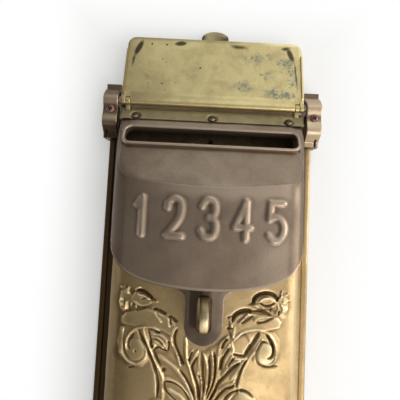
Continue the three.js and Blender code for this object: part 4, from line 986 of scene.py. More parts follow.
# The bottom is the cap. From its border the wall climbs by a quarter round (height by one less the
# cosine, place by the sine from the border to the plan), then straight up the plan to the mouth,
# whose height runs straight from the front's to the wall's. The ornament and dents raise the front.
def makeBox(given):
    cheek, half, front = given["steps"]
    plan, rear, bottom, chin = (given[key] for key in ("plan", "rear", "bottom", "chin"))
    path = bowedPath(plan, rear, given["steps"])
    chinY, cornerY = plan["front"] + chin, planArcs(plan)[1]
    borderY = np.where(path[:, 1] > cornerY - 1e-6,
                       rear + (path[:, 1] - rear) * (chinY - rear) / (cornerY - rear), chinY)
    border = np.stack([path[:, 0] * given["chinWidth"], borderY, np.full(len(path), bottom)], 1)
    turn = np.linspace(0, np.pi / 2, given["chinRows"] + 1)
    (frontOff, frontTop), (rearOff, rearTop) = given["mouth"]
    top = frontTop + (path[:, 1] - frontOff) * (rearTop - frontTop) / (rearOff - frontOff)
    lowRows, highRows = given["chasedRows"]
    middle, chasedTop = hingeZ + ornamentSettings["mirrorHeight"], given["chasedTop"]
    levels = np.concatenate([bottom + chin * (1 - np.cos(turn)),
                             np.linspace(bottom + chin, middle, lowRows + 1)[1:],
                             np.linspace(middle, chasedTop, highRows + 1)[1:]])
    upper = chasedTop + (top - chasedTop)[:, None] * np.linspace(0, 1, given["upperRows"] + 1)[1:]
    z = np.concatenate([levels * np.ones((len(path), 1)), upper], 1)
    share = np.concatenate([np.sin(turn), np.ones(z.shape[1] - len(turn))])[:, None]
    place = border[:, None, :2] + (path - border[:, :2])[:, None] * share
    wall = np.concatenate([place, z[..., None]], -1)
    run = runAlong(path)
    run -= run[len(run) // 2]

    # Crests are rubbed and hollows stay dark; the left is darkened by painted shade, most at its far edge,
    # and the right is a little darker before a painted highlight along its edge.
    def raised(outer, capIndex, wallIndex):
        heights, wearAndPaintedLight = np.zeros((2, len(outer)))
        up = outer[wallIndex][..., 2] - hingeZ
        along = np.broadcast_to(run[:, None], up.shape)
        relief, crest = ornament(along, up, ornamentSettings)
        depth, longest = given["dents"]
        heights[wallIndex] = relief + depth * unevenness(along, up, 5, longest)
        heights[capIndex] = 0
        # painted shade on the left, a painted highlight along the right edge
        wearAndPaintedLight[wallIndex] = (crest - 0.42 * smoothStep(-along, 42, 64) - 0.1 * smoothStep(-along, 67, 71)
                           - 0.05 * smoothStep(along, 50, 62) + 0.3 * smoothStep(along, 67, 71))
        return heights, wearAndPaintedLight

    cap = capGrid(border, 2 * half + front + 1, cheek + half + 1)
    points, faces, wearAndPaintedLight = pocketShell(cap, wall, boxField, given, raised)
    addPiece("box_body", points, faces, "box", "giltBrass", "gilt_brass", ("box_shell",), wearAndPaintedLight, 50)


makeBox(boxSettings)
print("box ready")


# ---- hood: sloped top, numerals, slot rim, hasp and lugs

hoodSettings = {
    "plan": {"half": 73.5, "front": -38.0, "bow": 3.0, "corner": 13.0},
    "splay": (4.0, 69.8, 71.4),  # lean of the cheeks, and where across the sheet it begins and is full
    "splayDepth": (-40.0, -24.0),
    "wall": 2.0,
    "tilt": 31.0,
    "slopeSink": 5.2,
    "topRear": 5.49,
    "rearEdge": ((-115.0, 12.0), (-13.6, 9.5), (-0.96, 5.49)),  # (up from the rod, behind it)
    "lowerEdge": ((74.5, -115), (71.0, -133.2), (54.0, -142.05), (36, -150), (0, -150)),
    "steps": (76, 12, 160),
    "rows": 138,
    "foldSoftness": (0.7, 3.6),  # crisp across the middle, round at the cheeks
    "foldAside": (52, 70),
    "coarser": 2,  # the inner surface takes every second point
    # painted shade on the inside of the hood
    "insideShade": -0.6,
    "dents": (0.30, 46.0),  # depth and longest wave: front, and then top
    "topDents": (0.22, 60.0),
}
slotSettings = {"half": 69.0, "start": 27.5, "end": 43.8, "corner": 5.0, "margin": 1.1, "rimWidth": 2.5,
                "rim": (-2.6, 3.5, 1.15),  # low, high, rounding
                "foot": (-2.7, -1.9, 0.3), "footWidth": 1.2, "around": 420}
numeralSettings = {
    "spacing": 25.0,
    "low": -111.2,
    "high": -83.8,
    "half": 5.6,
    "stroke": 3.3,
    "height": 1.3,
    "digits": [
        [([(-0.5, 0.78), (0.15, 1.0), (0.15, 0.0)], 1)],
        [([(-0.95, 0.74), (-0.75, 0.92), (0.0, 1.0), (0.75, 0.92), (0.95, 0.72), (0.6, 0.44),
           (-1.0, 0.0)], 8),
         ([(-1.0, 0.0), (1.0, 0.0)], 1)],
        [([(-0.9, 0.82), (-0.5, 0.97), (0.1, 1.0), (0.7, 0.93), (0.9, 0.76), (0.65, 0.58),
        (0.0, 0.53)], 8),
         ([(0.0, 0.53), (0.75, 0.46), (1.0, 0.26), (0.7, 0.06), (0.0, 0.0), (-0.6, 0.03),
           (-1.0, 0.18)], 8)],
        [([(0.45, 0.0), (0.45, 1.0), (-1.0, 0.3), (1.0, 0.3)], 1)],
        [([(0.85, 1.0), (-0.75, 1.0), (-0.85, 0.56)], 1),
         ([(-0.85, 0.56), (-0.3, 0.62), (0.4, 0.6), (0.95, 0.42), (0.95, 0.2), (0.4, 0.01), (-0.3, 0.0),
           (-0.95, 0.13)], 8)],
    ],
}
tiltTurn = math.radians(hoodSettings["tilt"])
downSlope = np.array((0, -math.sin(tiltTurn), -math.cos(tiltTurn)))
offSlope = np.array((0, -math.cos(tiltTurn), math.sin(tiltTurn)))
rightward = np.array((1.0, 0, 0))


# A place on the hood's sloped top: across, down the slope from the rod, and above the sheet.
def onSlope(across, along, above):
    return (rod + across[..., None] * rightward + along[..., None] * downSlope
            + (above - hoodSettings["slopeSink"])[..., None] * offSlope)


# Signed distance from the hood's outside: the larger of the plan's distance and the height above the
# sloped top, with a fold that is crisp in the middle and softer at the cheeks.
def hoodField(points):
    y, z = points[..., 1] - hingeY, points[..., 2] - hingeZ
    plan = bowedDistance(points[..., 0], y, hoodSettings["plan"])
    slope = y * offSlope[1] + z * offSlope[2] + hoodSettings["slopeSink"]
    crisp, soft = hoodSettings["foldSoftness"]
    aside = smoothStep(np.abs(points[..., 0]), *hoodSettings["foldAside"])
    return softMaximum(plan, slope, crisp + (soft - crisp) * aside)


# Height of the raised numerals at a place on the hood's front: each stroke is a low ridge with a
# flat top and sloping flanks, from its distance to the stroke's line.
def numerals(across, up, given):
    height = np.zeros(across.shape)
    for place, digit in enumerate(given["digits"]):
        middle = (place - (len(given["digits"]) - 1) / 2) * given["spacing"]
        for points, steps in digit:
            line = smoothLine(points, steps) if steps > 1 else np.array(points, float)
            line = np.stack([middle + line[:, 0] * given["half"],
                             given["low"] + line[:, 1] * (given["high"] - given["low"])], 1)
            away = besideLine(across, up, line)[0] / given["stroke"]
            height = np.maximum(height, smoothStep(1 - away, 0, 0.6))
    return given["height"] * height


# The sloped top is the cap, and its border is the plan at the height where the slope meets it. The
# wall goes down from there by equal shares to the lower edge, which is two quadratic curves. The
# cheeks reach back to a rear edge given by height, and lean outwards there by a smooth step.
def makeHood(given):
    cheek, half, front = given["steps"]
    path = bowedPath(given["plan"], given["topRear"], given["steps"])
    fold = (path[:, 1] * -offSlope[1] - given["slopeSink"]) / offSlope[2]
    border = np.stack([path[:, 0], path[:, 1], fold], 1)
    edge = np.array(given["lowerEdge"], float)
    turn = np.linspace(0, 1, 40)[:, None]
    curve = np.concatenate([(1 - turn) ** 2 * a + 2 * turn * (1 - turn) * b + turn ** 2 * c
                            for a, b, c in (edge[:3], edge[2:])])[::-1]
    lower = np.interp(np.abs(path[:, 0]), curve[:, 0], curve[:, 1])
    share = np.linspace(0, 1, given["rows"] + 1)[None, :]
    z = fold[:, None] + (lower - fold)[:, None] * share
    cornerY = planArcs(given["plan"])[1]
    rear = np.interp(z, *np.array(given["rearEdge"]).T)
    y = np.where(path[:, 1:] > cornerY, cornerY + (path[:, 1:] - cornerY) * (rear - cornerY)
                 / (given["topRear"] - cornerY), path[:, 1:])
    wall = np.stack([np.broadcast_to(path[:, :1], z.shape), y, z], -1)
    wall[:, 0] = border
    cap, wall = capGrid(border, 2 * half + front + 1, cheek + half + 1) + rod, wall + rod
    run = runAlong(path)
    run = (run - run[len(run) // 2])[:, None]

    # The front's dents grow below the numerals. The numerals are rubbed. The fold, the upper front and the
    # lower right of the front carry painted highlights, the lower edge a painted highlight with a thin
    # painted shadow at its very edge on the left, and the cheeks painted shade. On the top, dents fade in
    # over ten rows from the border, the band beside the strip carries painted light and the right is
    # darker.
    def raised(outer, capIndex, wallIndex):
        heights, wearAndPaintedLight = np.zeros((2, len(outer)))
        up = outer[wallIndex][..., 2] - hingeZ
        along = np.broadcast_to(run, up.shape)
        relief = blurred(numerals(along, up, numeralSettings), 1)
        depth, longest = given["dents"]
        heights[wallIndex] = relief + depth * unevenness(along, up, 11, longest) * smoothStep(-up, 78, 90)
        inward, right = smoothStep(-along, -72, -58), smoothStep(along, -40, 30)
        # painted highlight along the lower edge, and on the left a thin painted shadow at its very edge
        edge = smoothStep(share, 0.965, 0.98) - 1.4 * smoothStep(share, 0.985, 0.995)
        edge = 0.7 * (1 - right) * edge + 1.1 * right * smoothStep(share, 0.976, 0.988)
        # painted highlights on the fold and the upper front
        rubbedandlit = (edge + 0.3 * smoothStep(1 - share, 0.985, 1.0)
                  + 0.45 * smoothStep(up, -90, -77) * inward * smoothStep(along, -70, -10))
        # painted highlight on the lower right of the front
        flank = 0.3 * smoothStep(along, 24, 50) * inward * smoothStep(-up, 95, 110)
        # painted shade on the cheeks
        cheekShade = 0.45 * smoothStep(along, 58, 67) + 0.55 * smoothStep(-along, 58, 68)
        wearAndPaintedLight[wallIndex] = 0.8 * (relief - blurred(relief, 6)) + rubbedandlit + flank - cheekShade
        top = outer[capIndex]
        # painted light on the band beside the strip
        wearAndPaintedLight[capIndex] = (0.3 * smoothStep(slotSettings["start"] - (top - rod) @ downSlope, -1, 3)
                          - 0.16 * smoothStep(top[..., 0], 0, 50))
        column, row = np.arange(top.shape[0])[:, None], np.arange(top.shape[1])[None, :]
        fade = smoothStep(np.minimum(row[:, ::-1], np.minimum(column, column[::-1])), 0, 10)
        depth, longest = given["topDents"]
        heights[capIndex] = (heights[capIndex] * (1 - fade)
                             + depth * unevenness(top[..., 0], top[..., 2], 12, longest) * fade)
        return heights, wearAndPaintedLight

    slot, coarser = slotSettings, given["coarser"]
    corners = settle(cap, hoodField)[0][::coarser, ::coarser]
    middle = (corners[:-1, :-1] + corners[1:, 1:]) / 2 - rod
    offX = np.abs(middle[..., 0]) - slot["half"] - slot["margin"]
    offAlong = (np.abs(middle @ downSlope - (slot["start"] + slot["end"]) / 2)
                - (slot["end"] - slot["start"]) / 2 - slot["margin"])
    coarse = np.maximum(offX, offAlong) > 0
    fine = coarse.repeat(coarser, 0).repeat(coarser, 1)
    points, faces, wearAndPaintedLight = pocketShell(cap, wall, hoodField, given, raised, (fine, coarse))
    splay, begins, full = given["splay"]
    lean = smoothStep(np.abs(points[:, 0]), begins, full) * smoothStep(points[:, 1], *given["splayDepth"])
    points = points + np.sign(points[:, :1]) * (splay * lean)[:, None] * rightward
    addPiece("hood_shell", points, faces, "hood", "darkBronze", "dark_bronze", ("hood",), wearAndPaintedLight, 50)


# The rim is a frame round the slot, with a thin foot round it. Its top is lightened as rubbed metal and as
# painted light, most along its crest.
def makeSlotRim(slot):
    wide = slot["rimWidth"]
    inner = roundedOutline(slot["half"], slot["start"], slot["end"], slot["corner"], 10)
    outer = roundedOutline(slot["half"] + wide, slot["start"] - wide, slot["end"] + wide,
                           slot["corner"] + wide, 10)
    inner, outer = (np.concatenate([line, line[:1]]) for line in (inner, outer))
    run = runAlong(outer)
    places = np.linspace(0, run[-1], slot["around"], endpoint=False)
    inner, outer = (pointsAt(line, run, places) for line in (inner, outer))
    foot = outer + (outer - inner) * (slot["footWidth"] / wide)
    points, faces = gathered(frameSolid(inner, outer, *slot["rim"], onSlope),
                             frameSolid(inner, foot, *slot["foot"], onSlope))
    above, high = (points - rod) @ offSlope + hoodSettings["slopeSink"], slot["rim"][1]
    # the rim's top is lightened as rubbed metal and as painted light
    wearAndPaintedLight = np.where(above > 0, 0.25 + 0.6 * smoothStep(above, high - 1.2, high), 0)
    addPiece("slot_rim", points, faces, "hood", "darkBronze", "dark_bronze", (), wearAndPaintedLight)


haspSettings = {
    "half": 14.0, "front": -37.4, "thickness": 3.0, "rootTop": -146.0, "root": 20.5, "rootDrop": -150.6,
    "neckDrop": -157.0, "endDrop": -175.0, "slotHalf": 4.9, "slotLow": -179.6, "slotHigh": -153.4,
    "slotCorner": 4.0, "edge": 0.7, "dish": 0.7,
    # painted shade over the whole hasp
    "shade": 0.5,  # how much darker than the hood
}


# The hasp is a tongue with a slot, made of a left and a right strip between the slot and the outer
# edge. Its outer edge is a quarter ellipse from the root to the neck, straight, and then a half
# circle. Its face is rounded down by its distance from the nearest edge, as a quarter circle, and
# dished below the hood.
def makeHasp(given):
    root, half, corner, edge = (given[key] for key in ("root", "half", "slotCorner", "edge"))
    rootDrop, neckDrop, endDrop = given["rootDrop"], given["neckDrop"], given["endDrop"]
    low, high = given["slotLow"], given["slotHigh"]
    fillet = rootDrop - (rootDrop - neckDrop) * (1 - np.cos(np.linspace(0, np.pi / 2, 22)))
    end = endDrop - half * np.sin(np.linspace(0, np.pi / 2 - 0.02, 50))
    slotEnds = [low - 0.02, low + 0.02, high - 0.02, high + 0.02]
    rows = np.concatenate([np.linspace(given["rootTop"], rootDrop, 8), fillet,
                           np.linspace(neckDrop, endDrop, 30), end, slotEnds,
                           low + np.linspace(0.1, 4, 12), high - np.linspace(0.1, 4, 12)])
    z = np.unique(np.round(rows, 3))[::-1]
    share = np.clip((rootDrop - z) / (rootDrop - neckDrop), 0, 1)
    width = root - (root - half) * np.sqrt(np.clip(1 - (1 - share) ** 2, 0, 1))
    width = np.where(z < endDrop, np.sqrt(np.clip(half ** 2 - (z - endDrop) ** 2, 0, None)), width)
    fromEnd = np.clip(np.minimum(z - low, high - z), 0, corner)
    inSlot = given["slotHalf"] - corner + np.sqrt(corner ** 2 - (corner - fromEnd) ** 2)
    gap = np.where((z > low) & (z < high), inSlot, 0.0)
    edges = np.array([0, 0.012, 0.03, 0.055, 0.09, 0.14])
    across = np.concatenate([edges, np.linspace(0.2, 0.8, 9), 1 - edges[::-1]])
    x = gap[:, None] + (width - gap)[:, None] * across
    level = np.broadcast_to(z[:, None], x.shape)
    outline = np.concatenate([np.stack([width, z], 1), np.stack([-width, z], 1)[::-1]])
    slotLine = roundedOutline(given["slotHalf"], low, high, corner, 12)
    slotLine = np.concatenate([slotLine, slotLine[:1]])
    toOutline = besideLine(x, level, outline)[0]
    near = np.minimum(toOutline, besideLine(x, level, slotLine)[0])
    drop = edge - np.sqrt(edge ** 2 - np.clip(edge - near, 0, edge) ** 2)
    dish = given["dish"] * smoothStep(level, -163, -149) + 0.12 * unevenness(x, level, 41, 22.0)
    front = hingeY + given["front"]
    parts = []
    for sign in (-1, 1):
        face = np.stack([sign * x, front + drop + dish, hingeZ + level], -1)
        back = np.stack([sign * x, np.full(x.shape, front + given["thickness"]), hingeZ + level], -1)
        parts.append(ringStack(np.concatenate([face, back[:, ::-1]], 1)))
    points, faces = gathered(*parts)
    # Edges are rubbed. Painted shade darkens the whole hasp, a painted highlight lightens the outer part of
    # the right strip, and a painted shadow darkens the left strip beside the slot.
    rim = 0.45 * smoothStep(drop, 0.02, 0.4) - given["shade"]
    # painted highlight on the outer part of the right strip
    lit = (rim + 0.5 * smoothStep(x, 3.0, 8.0) * smoothStep(level, -183, -169)
           + smoothStep(x, 2, 6) * (0.15 * smoothStep(-toOutline, -6.0, -0.6)
                                    + 0.15 * smoothStep(level, -168, -153)))
    # painted shadow on the left strip beside the slot
    dim = rim - 1.2 * smoothStep(x, 1, 4) * (1 - smoothStep(x, 7, 11.5)) * smoothStep(level, -178, -168)
    back = np.full(level.shape, -given["shade"])
    wearAndPaintedLight = np.concatenate([np.concatenate([face, back], 1).ravel() for face in (dim, lit)])
    addPiece("hasp", points, faces, "hood", "shadedHaspBronze", "dark_bronze", (), wearAndPaintedLight, 50)


lugSettings = {"inner": 69.9, "outer": 73.5, "radius": 3.4, "rounding": 0.4}


# A lug at each side hangs the hood on the rod: a round eye with a neck down to the cheek.
def makeLugs(given):
    radius, sink, rounding = given["radius"], hoodSettings["slopeSink"], given["rounding"]
    side = np.array([(0.0, sink - 1.0), (2.9, sink - 1.6), (7.2, 0.0), (7.6, -2.0), (-2.0, -2.0),
                     (-3.0, sink - 3.4)])
    parts = []
    for sign in (-1, 1):
        low, high = sorted((sign * given["inner"], sign * given["outer"]))
        run = [(0, radius - rounding), (rounding, radius), (high - low - rounding, radius),
               (high - low, radius - rounding)]
        parts.append(turnedSolid(run, rod + (low, 0, 0), rightward, 40))
        parts.append(slabSolid(side, low, high, 0.3, lambda a, b, h: onSlope(h, a, b)))
    points, faces = gathered(*parts)
    wearAndPaintedLight = np.full(len(points), -0.12)
    addPiece("hood_lugs", points, faces, "hood", "yellowBrass", "dark_bronze", (), wearAndPaintedLight)


makeLugs(lugSettings)
makeHood(hoodSettings)
makeSlotRim(slotSettings)
makeHasp(haspSettings)
print("hood ready")


# ---- flange with its raised bead, and the tabs behind the hinge brackets

flangeSettings = {
    "half": 88.0, "low": -168.0, "high": 168.0, "corner": 8.0, "innerHalf": 72.8, "innerLow": -154.2,
    "rear": -1.9, "front": -4.3, "beadWidth": 5.2, "beadHeight": 1.9, "beadTop": 148.8, "beadSink": 0.2,
    "overlap": 0.4,  # the strip's lower edge reaches this far behind the bead's top
    "tab": (79.6, 92.0, 149.0, 196.5), "tabCorner": 2.0,
}


# The flange's section is carried down one side, round the foot and up the other side: a flat
# strip with a bead along its outer edge, whose height follows a sine raised to a power.
def makeFlange(given):
    half, low, corner, innerHalf = (given[key] for key in ("half", "low", "corner", "innerHalf"))
    rear, front, beadTop, sink = (given[key] for key in ("rear", "front", "beadTop", "beadSink"))
    turn = np.linspace(0, np.pi / 2, 13)[::-1]
    arc = np.stack([half - corner + corner * np.cos(turn), low + corner - corner * np.sin(turn)], 1)
    sideUp, footX = np.linspace(low + corner, beadTop, 61)[1:], np.linspace(0, half - corner, 41)[:-1]
    side = np.stack([np.full(len(sideUp), half), sideUp], 1)
    foot = np.stack([footX, np.full(len(footX), low)], 1)
    right = np.concatenate([foot, arc[np.argsort(arc[:, 1])], side])
    outer = np.concatenate([right[1:][::-1] * (-1, 1), right])
    inner = np.stack([np.clip(outer[:, 0], -innerHalf, innerHalf),
                      np.maximum(outer[:, 1], given["innerLow"])], 1)
    reach = inner - outer
    reach = reach / np.linalg.norm(reach, axis=1)[:, None]
    rise, wide = given["beadHeight"], given["beadWidth"]
    bead = [(wide / 2 * (1 - math.cos(t)), front - sink - (rise - sink) * math.sin(t) ** 0.75)
            for t in np.linspace(0, np.pi, 13)[1:-1]]
    section = [(0, rear), (0, front - sink), *bead, (wide, front - 0.1), (wide + 0.5, front),
               (wide + 1.0, front)]

    # A line of places (across, up) at a distance off the wall.
    def ringAt(line, y):
        return np.stack([line[:, 0], np.full(len(line), y), line[:, 1]], 1)

    rings = [ringAt(outer + reach * inward, y) for inward, y in section]
    parts = [ringStack(np.stack([*rings, ringAt(inner, front), ringAt(inner, rear)], 1))]
    left, right, tabLow, tabHigh = given["tab"]
    bottom = beadTop - given["overlap"]
    strip = np.array([(innerHalf, bottom), (half, bottom), (half, given["high"]),
                      (innerHalf, given["high"])])
    tab = roundedOutline((right - left) / 2, tabLow, tabHigh, given["tabCorner"]) + ((left + right) / 2, 0)
    for outline in (line * (sign, 1) for sign in (-1, 1) for line in (strip, tab)):
        parts.append(slabSolid(outline, -rear, -front, 0.35, lambda a, b, h: np.stack([a, -h, b], -1)))
    points, faces = gathered(*parts)
    # The bead is rubbed, the left flange is darkened by painted shade in the wear and stain marks, and the
    # right one's outer edge by painted shade.
    crest, leftShade = smoothStep(front - points[:, 1], 0.9, 1.8) * 0.3, smoothStep(-points[:, 0], 60, 80)
    wearAndPaintedLight = crest + 0.17 - leftShade - 0.55 * smoothStep(points[:, 0], 83.5, 86.5)
    addPiece("box_flange", points, faces, "box", "giltBrass", "gilt_brass", ("box_shell",), wearAndPaintedLight,
             stain=0.75 * leftShade)


makeFlange(flangeSettings)


# ---- flap: plate with turned edges and a rolled bead round the rod

flapSettings = {
    "half": 77.2, "tipHalf": 75.7, "length": 60.0, "corner": 7.0, "under": -1.2, "over": 0.4, "start": 3.9,
    "rounding": 0.75, "bead": 3.2, "lugs": (69.75, 73.65), "edge": (7.0, 48.0), "edgeDepth": 3.6,
    "lean": -6.896, "columns": 180, "rows": (59, 18), "dents": (0.3, 48.0),  # depth and longest wave
}
flapLean = math.radians(flapSettings["lean"])
# Marks on the flap's inner face: (across, up, half width, half height, turn in degrees, strength).
flapMarks = {
    "stain": [(46, 5.5, 26, 2.2, 2, 0.55), (-30, 6, 30, 1.6, 0, 0.3), (-66, 50, 2.6, 8.5, -22, 1.0),
              (-70, 38, 1.6, 8, -8, 0.6), (-30, 55.5, 6.0, 2.4, 8, 0.95), (20, 55, 10, 2.6, -6, 0.6),
              (66, 49, 2.6, 7.5, 22, 0.95), (62, 55, 5.0, 2.2, 10, 0.6), (-58, 24, 9, 2.0, -35, 0.28),
              (44, 30, 6, 3, 20, 0.35), (70.6, 30, 0.8, 17, 5, 0.75), (-55, 54, 0.9, 1.3, 0, 1.0),
              (-42, 54, 0.8, 1.2, 0, 0.9), (-45, 40, 1.2, 0.8, 0, 0.8), (-41, 37, 0.8, 1.0, 0, 0.7),
              (-12, 33, 1.6, 1.0, 20, 0.7), (-44, 17, 1.4, 0.7, 0, 0.8), (-33, 18, 0.9, 0.8, 0, 0.7),
              (-41, 11, 1.2, 0.8, 0, 0.7), (-56, 17, 0.9, 0.8, 0, 0.6)],
    "bloom": [(36, 44, 17, 9, 10, 0.95), (60, 42, 11, 10, -10, 0.95), (24, 17, 14, 8, 0, 0.9),
              (55, 12, 17, 8, 0, 1.0), (66, 27, 8, 13, 0, 0.9), (46, 29, 10, 8, 0, 0.75),
              (-20, 34, 4, 3, 0, 0.35), (2, 20, 5, 3, 0, 0.3), (-60, 12, 6, 3, 0, 0.35)],
}


# A place on the flap: across, in front of or behind the rod's plane, and up from the rod. It is
# turned about the rod by the flap's lean.
def onFlap(across, off, up):
    turnedY = off * math.cos(flapLean) - up * math.sin(flapLean)
    turnedZ = off * math.sin(flapLean) + up * math.cos(flapLean)
    return np.stack(np.broadcast_arrays(across, hingeY + turnedY, hingeZ + turnedZ), -1)


# The flap's half width narrows evenly towards its tip, and by a quarter circle at the corners.
def flapHalfWidth(up, given):
    straight = given["half"] + (given["tipHalf"] - given["half"]) * up / given["length"]
    above = np.clip(up - (given["length"] - given["corner"]), 0, given["corner"])
    return straight - given["corner"] + np.sqrt(given["corner"] ** 2 - above ** 2)


# The strongest mark at each place: full inside a turned ellipse, and fading away beyond it.
def marksOn(across, up, marks):
    total = np.zeros(across.shape)
    for x, z, wide, high, turn, strength in marks:
        lean = math.radians(turn)
        a = (across - x) * math.cos(lean) + (up - z) * math.sin(lean)
        b = -(across - x) * math.sin(lean) + (up - z) * math.cos(lean)
        away = np.sqrt((a / wide) ** 2 + (b / high) ** 2)
        total = np.maximum(total, strength * np.clip(1.35 - away, 0, 1))
    return total


# The plate is a stack of rings up the flap: across its face, round the right edge by a half circle,
# back across, and round the left edge. Slow dents fade towards its edges. The bead is turned round
# the rod in three lengths, each with a curl that runs into the plate by a smooth step, and a turned
# edge at each side deepens by a square root from its ends.
def makeFlap(given):
    length, corner, edge = given["length"], given["corner"], given["rounding"]
    frontY, backY = given["under"], given["over"]
    straightRows, cornerRows = given["rows"]
    up = np.concatenate([np.linspace(given["start"], length - corner, straightRows)[:-1],
                         length - corner * (1 - np.sin(np.linspace(0, np.pi / 2, cornerRows)))])
    half = flapHalfWidth(up, given)[:, None]
    turn = np.linspace(0, np.pi / 2, 5)
    flat = np.linspace(-1, 1, given["columns"] + 1) * (half - edge)
    sideX = half - edge + edge * np.sin(turn)[[1, 2, 3, 4, 3, 2, 1]]
    easing = edge * (1 - np.cos(turn))[1:-1]
    sideY = np.concatenate([frontY + easing, [(frontY + backY) / 2], backY - easing[::-1]])
    x = np.concatenate([flat, sideX, flat[:, ::-1], -sideX], 1)
    y = np.concatenate([np.full(flat.shape[1], frontY), sideY, np.full(flat.shape[1], backY), sideY[::-1]])
    z = np.broadcast_to(up[:, None], x.shape)
    depth, longest = given["dents"]
    fromEdge = np.minimum(half - np.abs(x), length - z)
    dents = depth * unevenness(x, z, 21, longest) * smoothStep(fromEdge, 1, 9)
    parts = [ringStack(onFlap(x, y + dents, z))]

    bead, climb = given["bead"], np.linspace(0, 1, 15)
    front = frontY - (bead + frontY) * (1 - smoothStep(climb, 0, 1)) - 0.02
    curl = np.stack([np.append(front, (0.3, 0.3)), np.append(0.2 + 8.3 * climb, (8.5, 0.2))], 1)
    inner, outer = given["lugs"]
    for low, high in ((-given["half"], -outer), (-inner, inner), (outer, given["half"])):
        span = high - low
        count = max(int(span / 2), 3)
        run = np.concatenate([[0, 0.25, 0.6], np.linspace(0.6, span - 0.6, count)[1:-1],
                              [span - 0.6, span - 0.25, span]])
        radius = np.full(len(run), bead)
        radius[:3] -= (0.3, 0.1, 0.0)
        radius[-3:] -= (0.0, 0.1, 0.3)
        parts.append(turnedSolid(np.stack([run, radius], 1), rod + (low, 0, 0), rightward, 36))
        parts.append(slabSolid(curl, low, high, 0.2, lambda a, b, h: onFlap(h, a, b)))

    lowEdge, highEdge = given["edge"]
    run = np.linspace(lowEdge, highEdge, 40)
    climb = np.minimum(run - lowEdge + 0.6, highEdge - run + 1.2) / 2.4
    deep = given["edgeDepth"] * np.clip(climb, 0.3, 1) ** 0.5
    root, shoulder = backY - 0.25, 0.35 - deep
    section = ((0.15, root), (0.0, frontY), (0.0, shoulder), (0.25, -deep), (0.8, -deep), (1.35, -deep),
               (1.6, shoulder), (1.6, root))  # (in from the side, behind the rod's plane)
    for sign in (-1, 1):
        parts.append(ringStack(np.stack([onFlap(sign * (flapHalfWidth(run, given) - inset), off, run)
                                         for inset, off in section], 1)))
    points, faces = gathered(*parts)

    # Stains lie on the front only. The rim carries painted shade at the left and a painted highlight at the
    # right.
    x, y, z = (points - rod).T
    lift = z * math.cos(flapLean) - y * math.sin(flapLean)
    facing = smoothStep(-(y * math.cos(flapLean) + z * math.sin(flapLean)), -0.3, 0.9)
    rim = np.minimum(flapHalfWidth(np.clip(lift, 0, length), given) - np.abs(x), length - lift)
    paintedRimLight = -0.35 + 0.75 * smoothStep(x, 10, 60)
    wearAndPaintedLight = paintedRimLight * smoothStep(-rim, -4.5, -1.0) * (lift > given["start"])
    stain, bloom = (marksOn(x, lift, flapMarks[kind]) for kind in ("stain", "bloom"))
    addPiece("flap_plate", points, faces, "flap", "yellowBrass", "yellow_brass", ("flap",), wearAndPaintedLight,
             stain=stain * facing, bloom=bloom)


makeFlap(flapSettings)


# ---- strip along the hood's upper edge, and domed rivets

stripSettings = {
    "half": 77.0, "start": 3.4, "end": 16.2, "notchX": 69.3, "notchEnd": 7.4, "tongue": 74.1,
    "low": 0.3, "high": 1.5, "dimple": (0.75, 2.6, 5.6),  # depth, and where it begins to rise and ends
    "rivetX": (-64.2, 0.0, 64.2), "rivetAlong": 12.8, "rivetSeat": 1.55,
    "rivet": (3.1, 1.9, 6.8, 1.6),  # radius, height, shank's length and radius
}


# The strip is a thin sheet with the lugs' corners cut out. Its edges are eased, and it is pressed in
# round each rivet, both by smooth steps of the distance, with a slow unevenness added.
def makeStrip(given):
    low, high, start, end = (given[key] for key in ("low", "high", "start", "end"))
    across, along = np.linspace(-1, 1, 301), np.linspace(0, 1, 41)
    notch = (given["notchEnd"] - start) / (end - start)
    s = start + along * (end - start)
    s[np.argmax(along >= notch)] = given["notchEnd"]
    half = np.where(along < notch, given["notchX"], given["half"])
    x = across[:, None] * half
    s = np.broadcast_to(s, x.shape)
    fromEdge = np.minimum(half - np.abs(x), np.minimum(s - start, end - s))
    drop = 0.35 * (1 - smoothStep(fromEdge, 0, 0.7))
    depth, near, far = given["dimple"]
    for place in given["rivetX"]:
        drop = drop + depth * (1 - smoothStep(np.hypot(x - place, s - given["rivetAlong"]), near, far))
    top = np.minimum(high - drop + 0.12 * unevenness(x, s, 31, 26.0), high)
    upper, lower = onSlope(x, s, top), onSlope(x, s, np.full(x.shape, low))
    index = np.arange(x.size).reshape(x.shape)
    rim = np.concatenate([index[:-1, 0], index[-1, :-1], index[1:, -1][::-1], index[0, 1:][::-1]])
    after = np.roll(rim, -1)
    side = np.stack([rim, after, after + x.size, rim + x.size], 1)
    sheet = (np.concatenate([upper.reshape(-1, 3), lower.reshape(-1, 3)]),
             [np.concatenate([gridFaces(index), gridFaces(index)[:, ::-1] + x.size, side])])
    left, right, top = given["tongue"], given["half"], given["notchEnd"] + 0.3
    corner = np.array([(left, start), (right, start), (right, top), (left, top)])
    tongues = [slabSolid(corner * (sign, 1), low, high, 0.3, onSlope) for sign in (-1, 1)]
    points, faces = gathered(sheet, *tongues)
    wearAndPaintedLight = np.concatenate([(0.12 - drop).ravel() * 0.8, np.zeros(x.size)])
    wearAndPaintedLight = np.concatenate([wearAndPaintedLight, np.full(len(points) - len(wearAndPaintedLight), -0.1)])
    addPiece("strip_plate", points, faces, "hood", "stripBrass", "strip_brass", ("hood_strip",), wearAndPaintedLight)


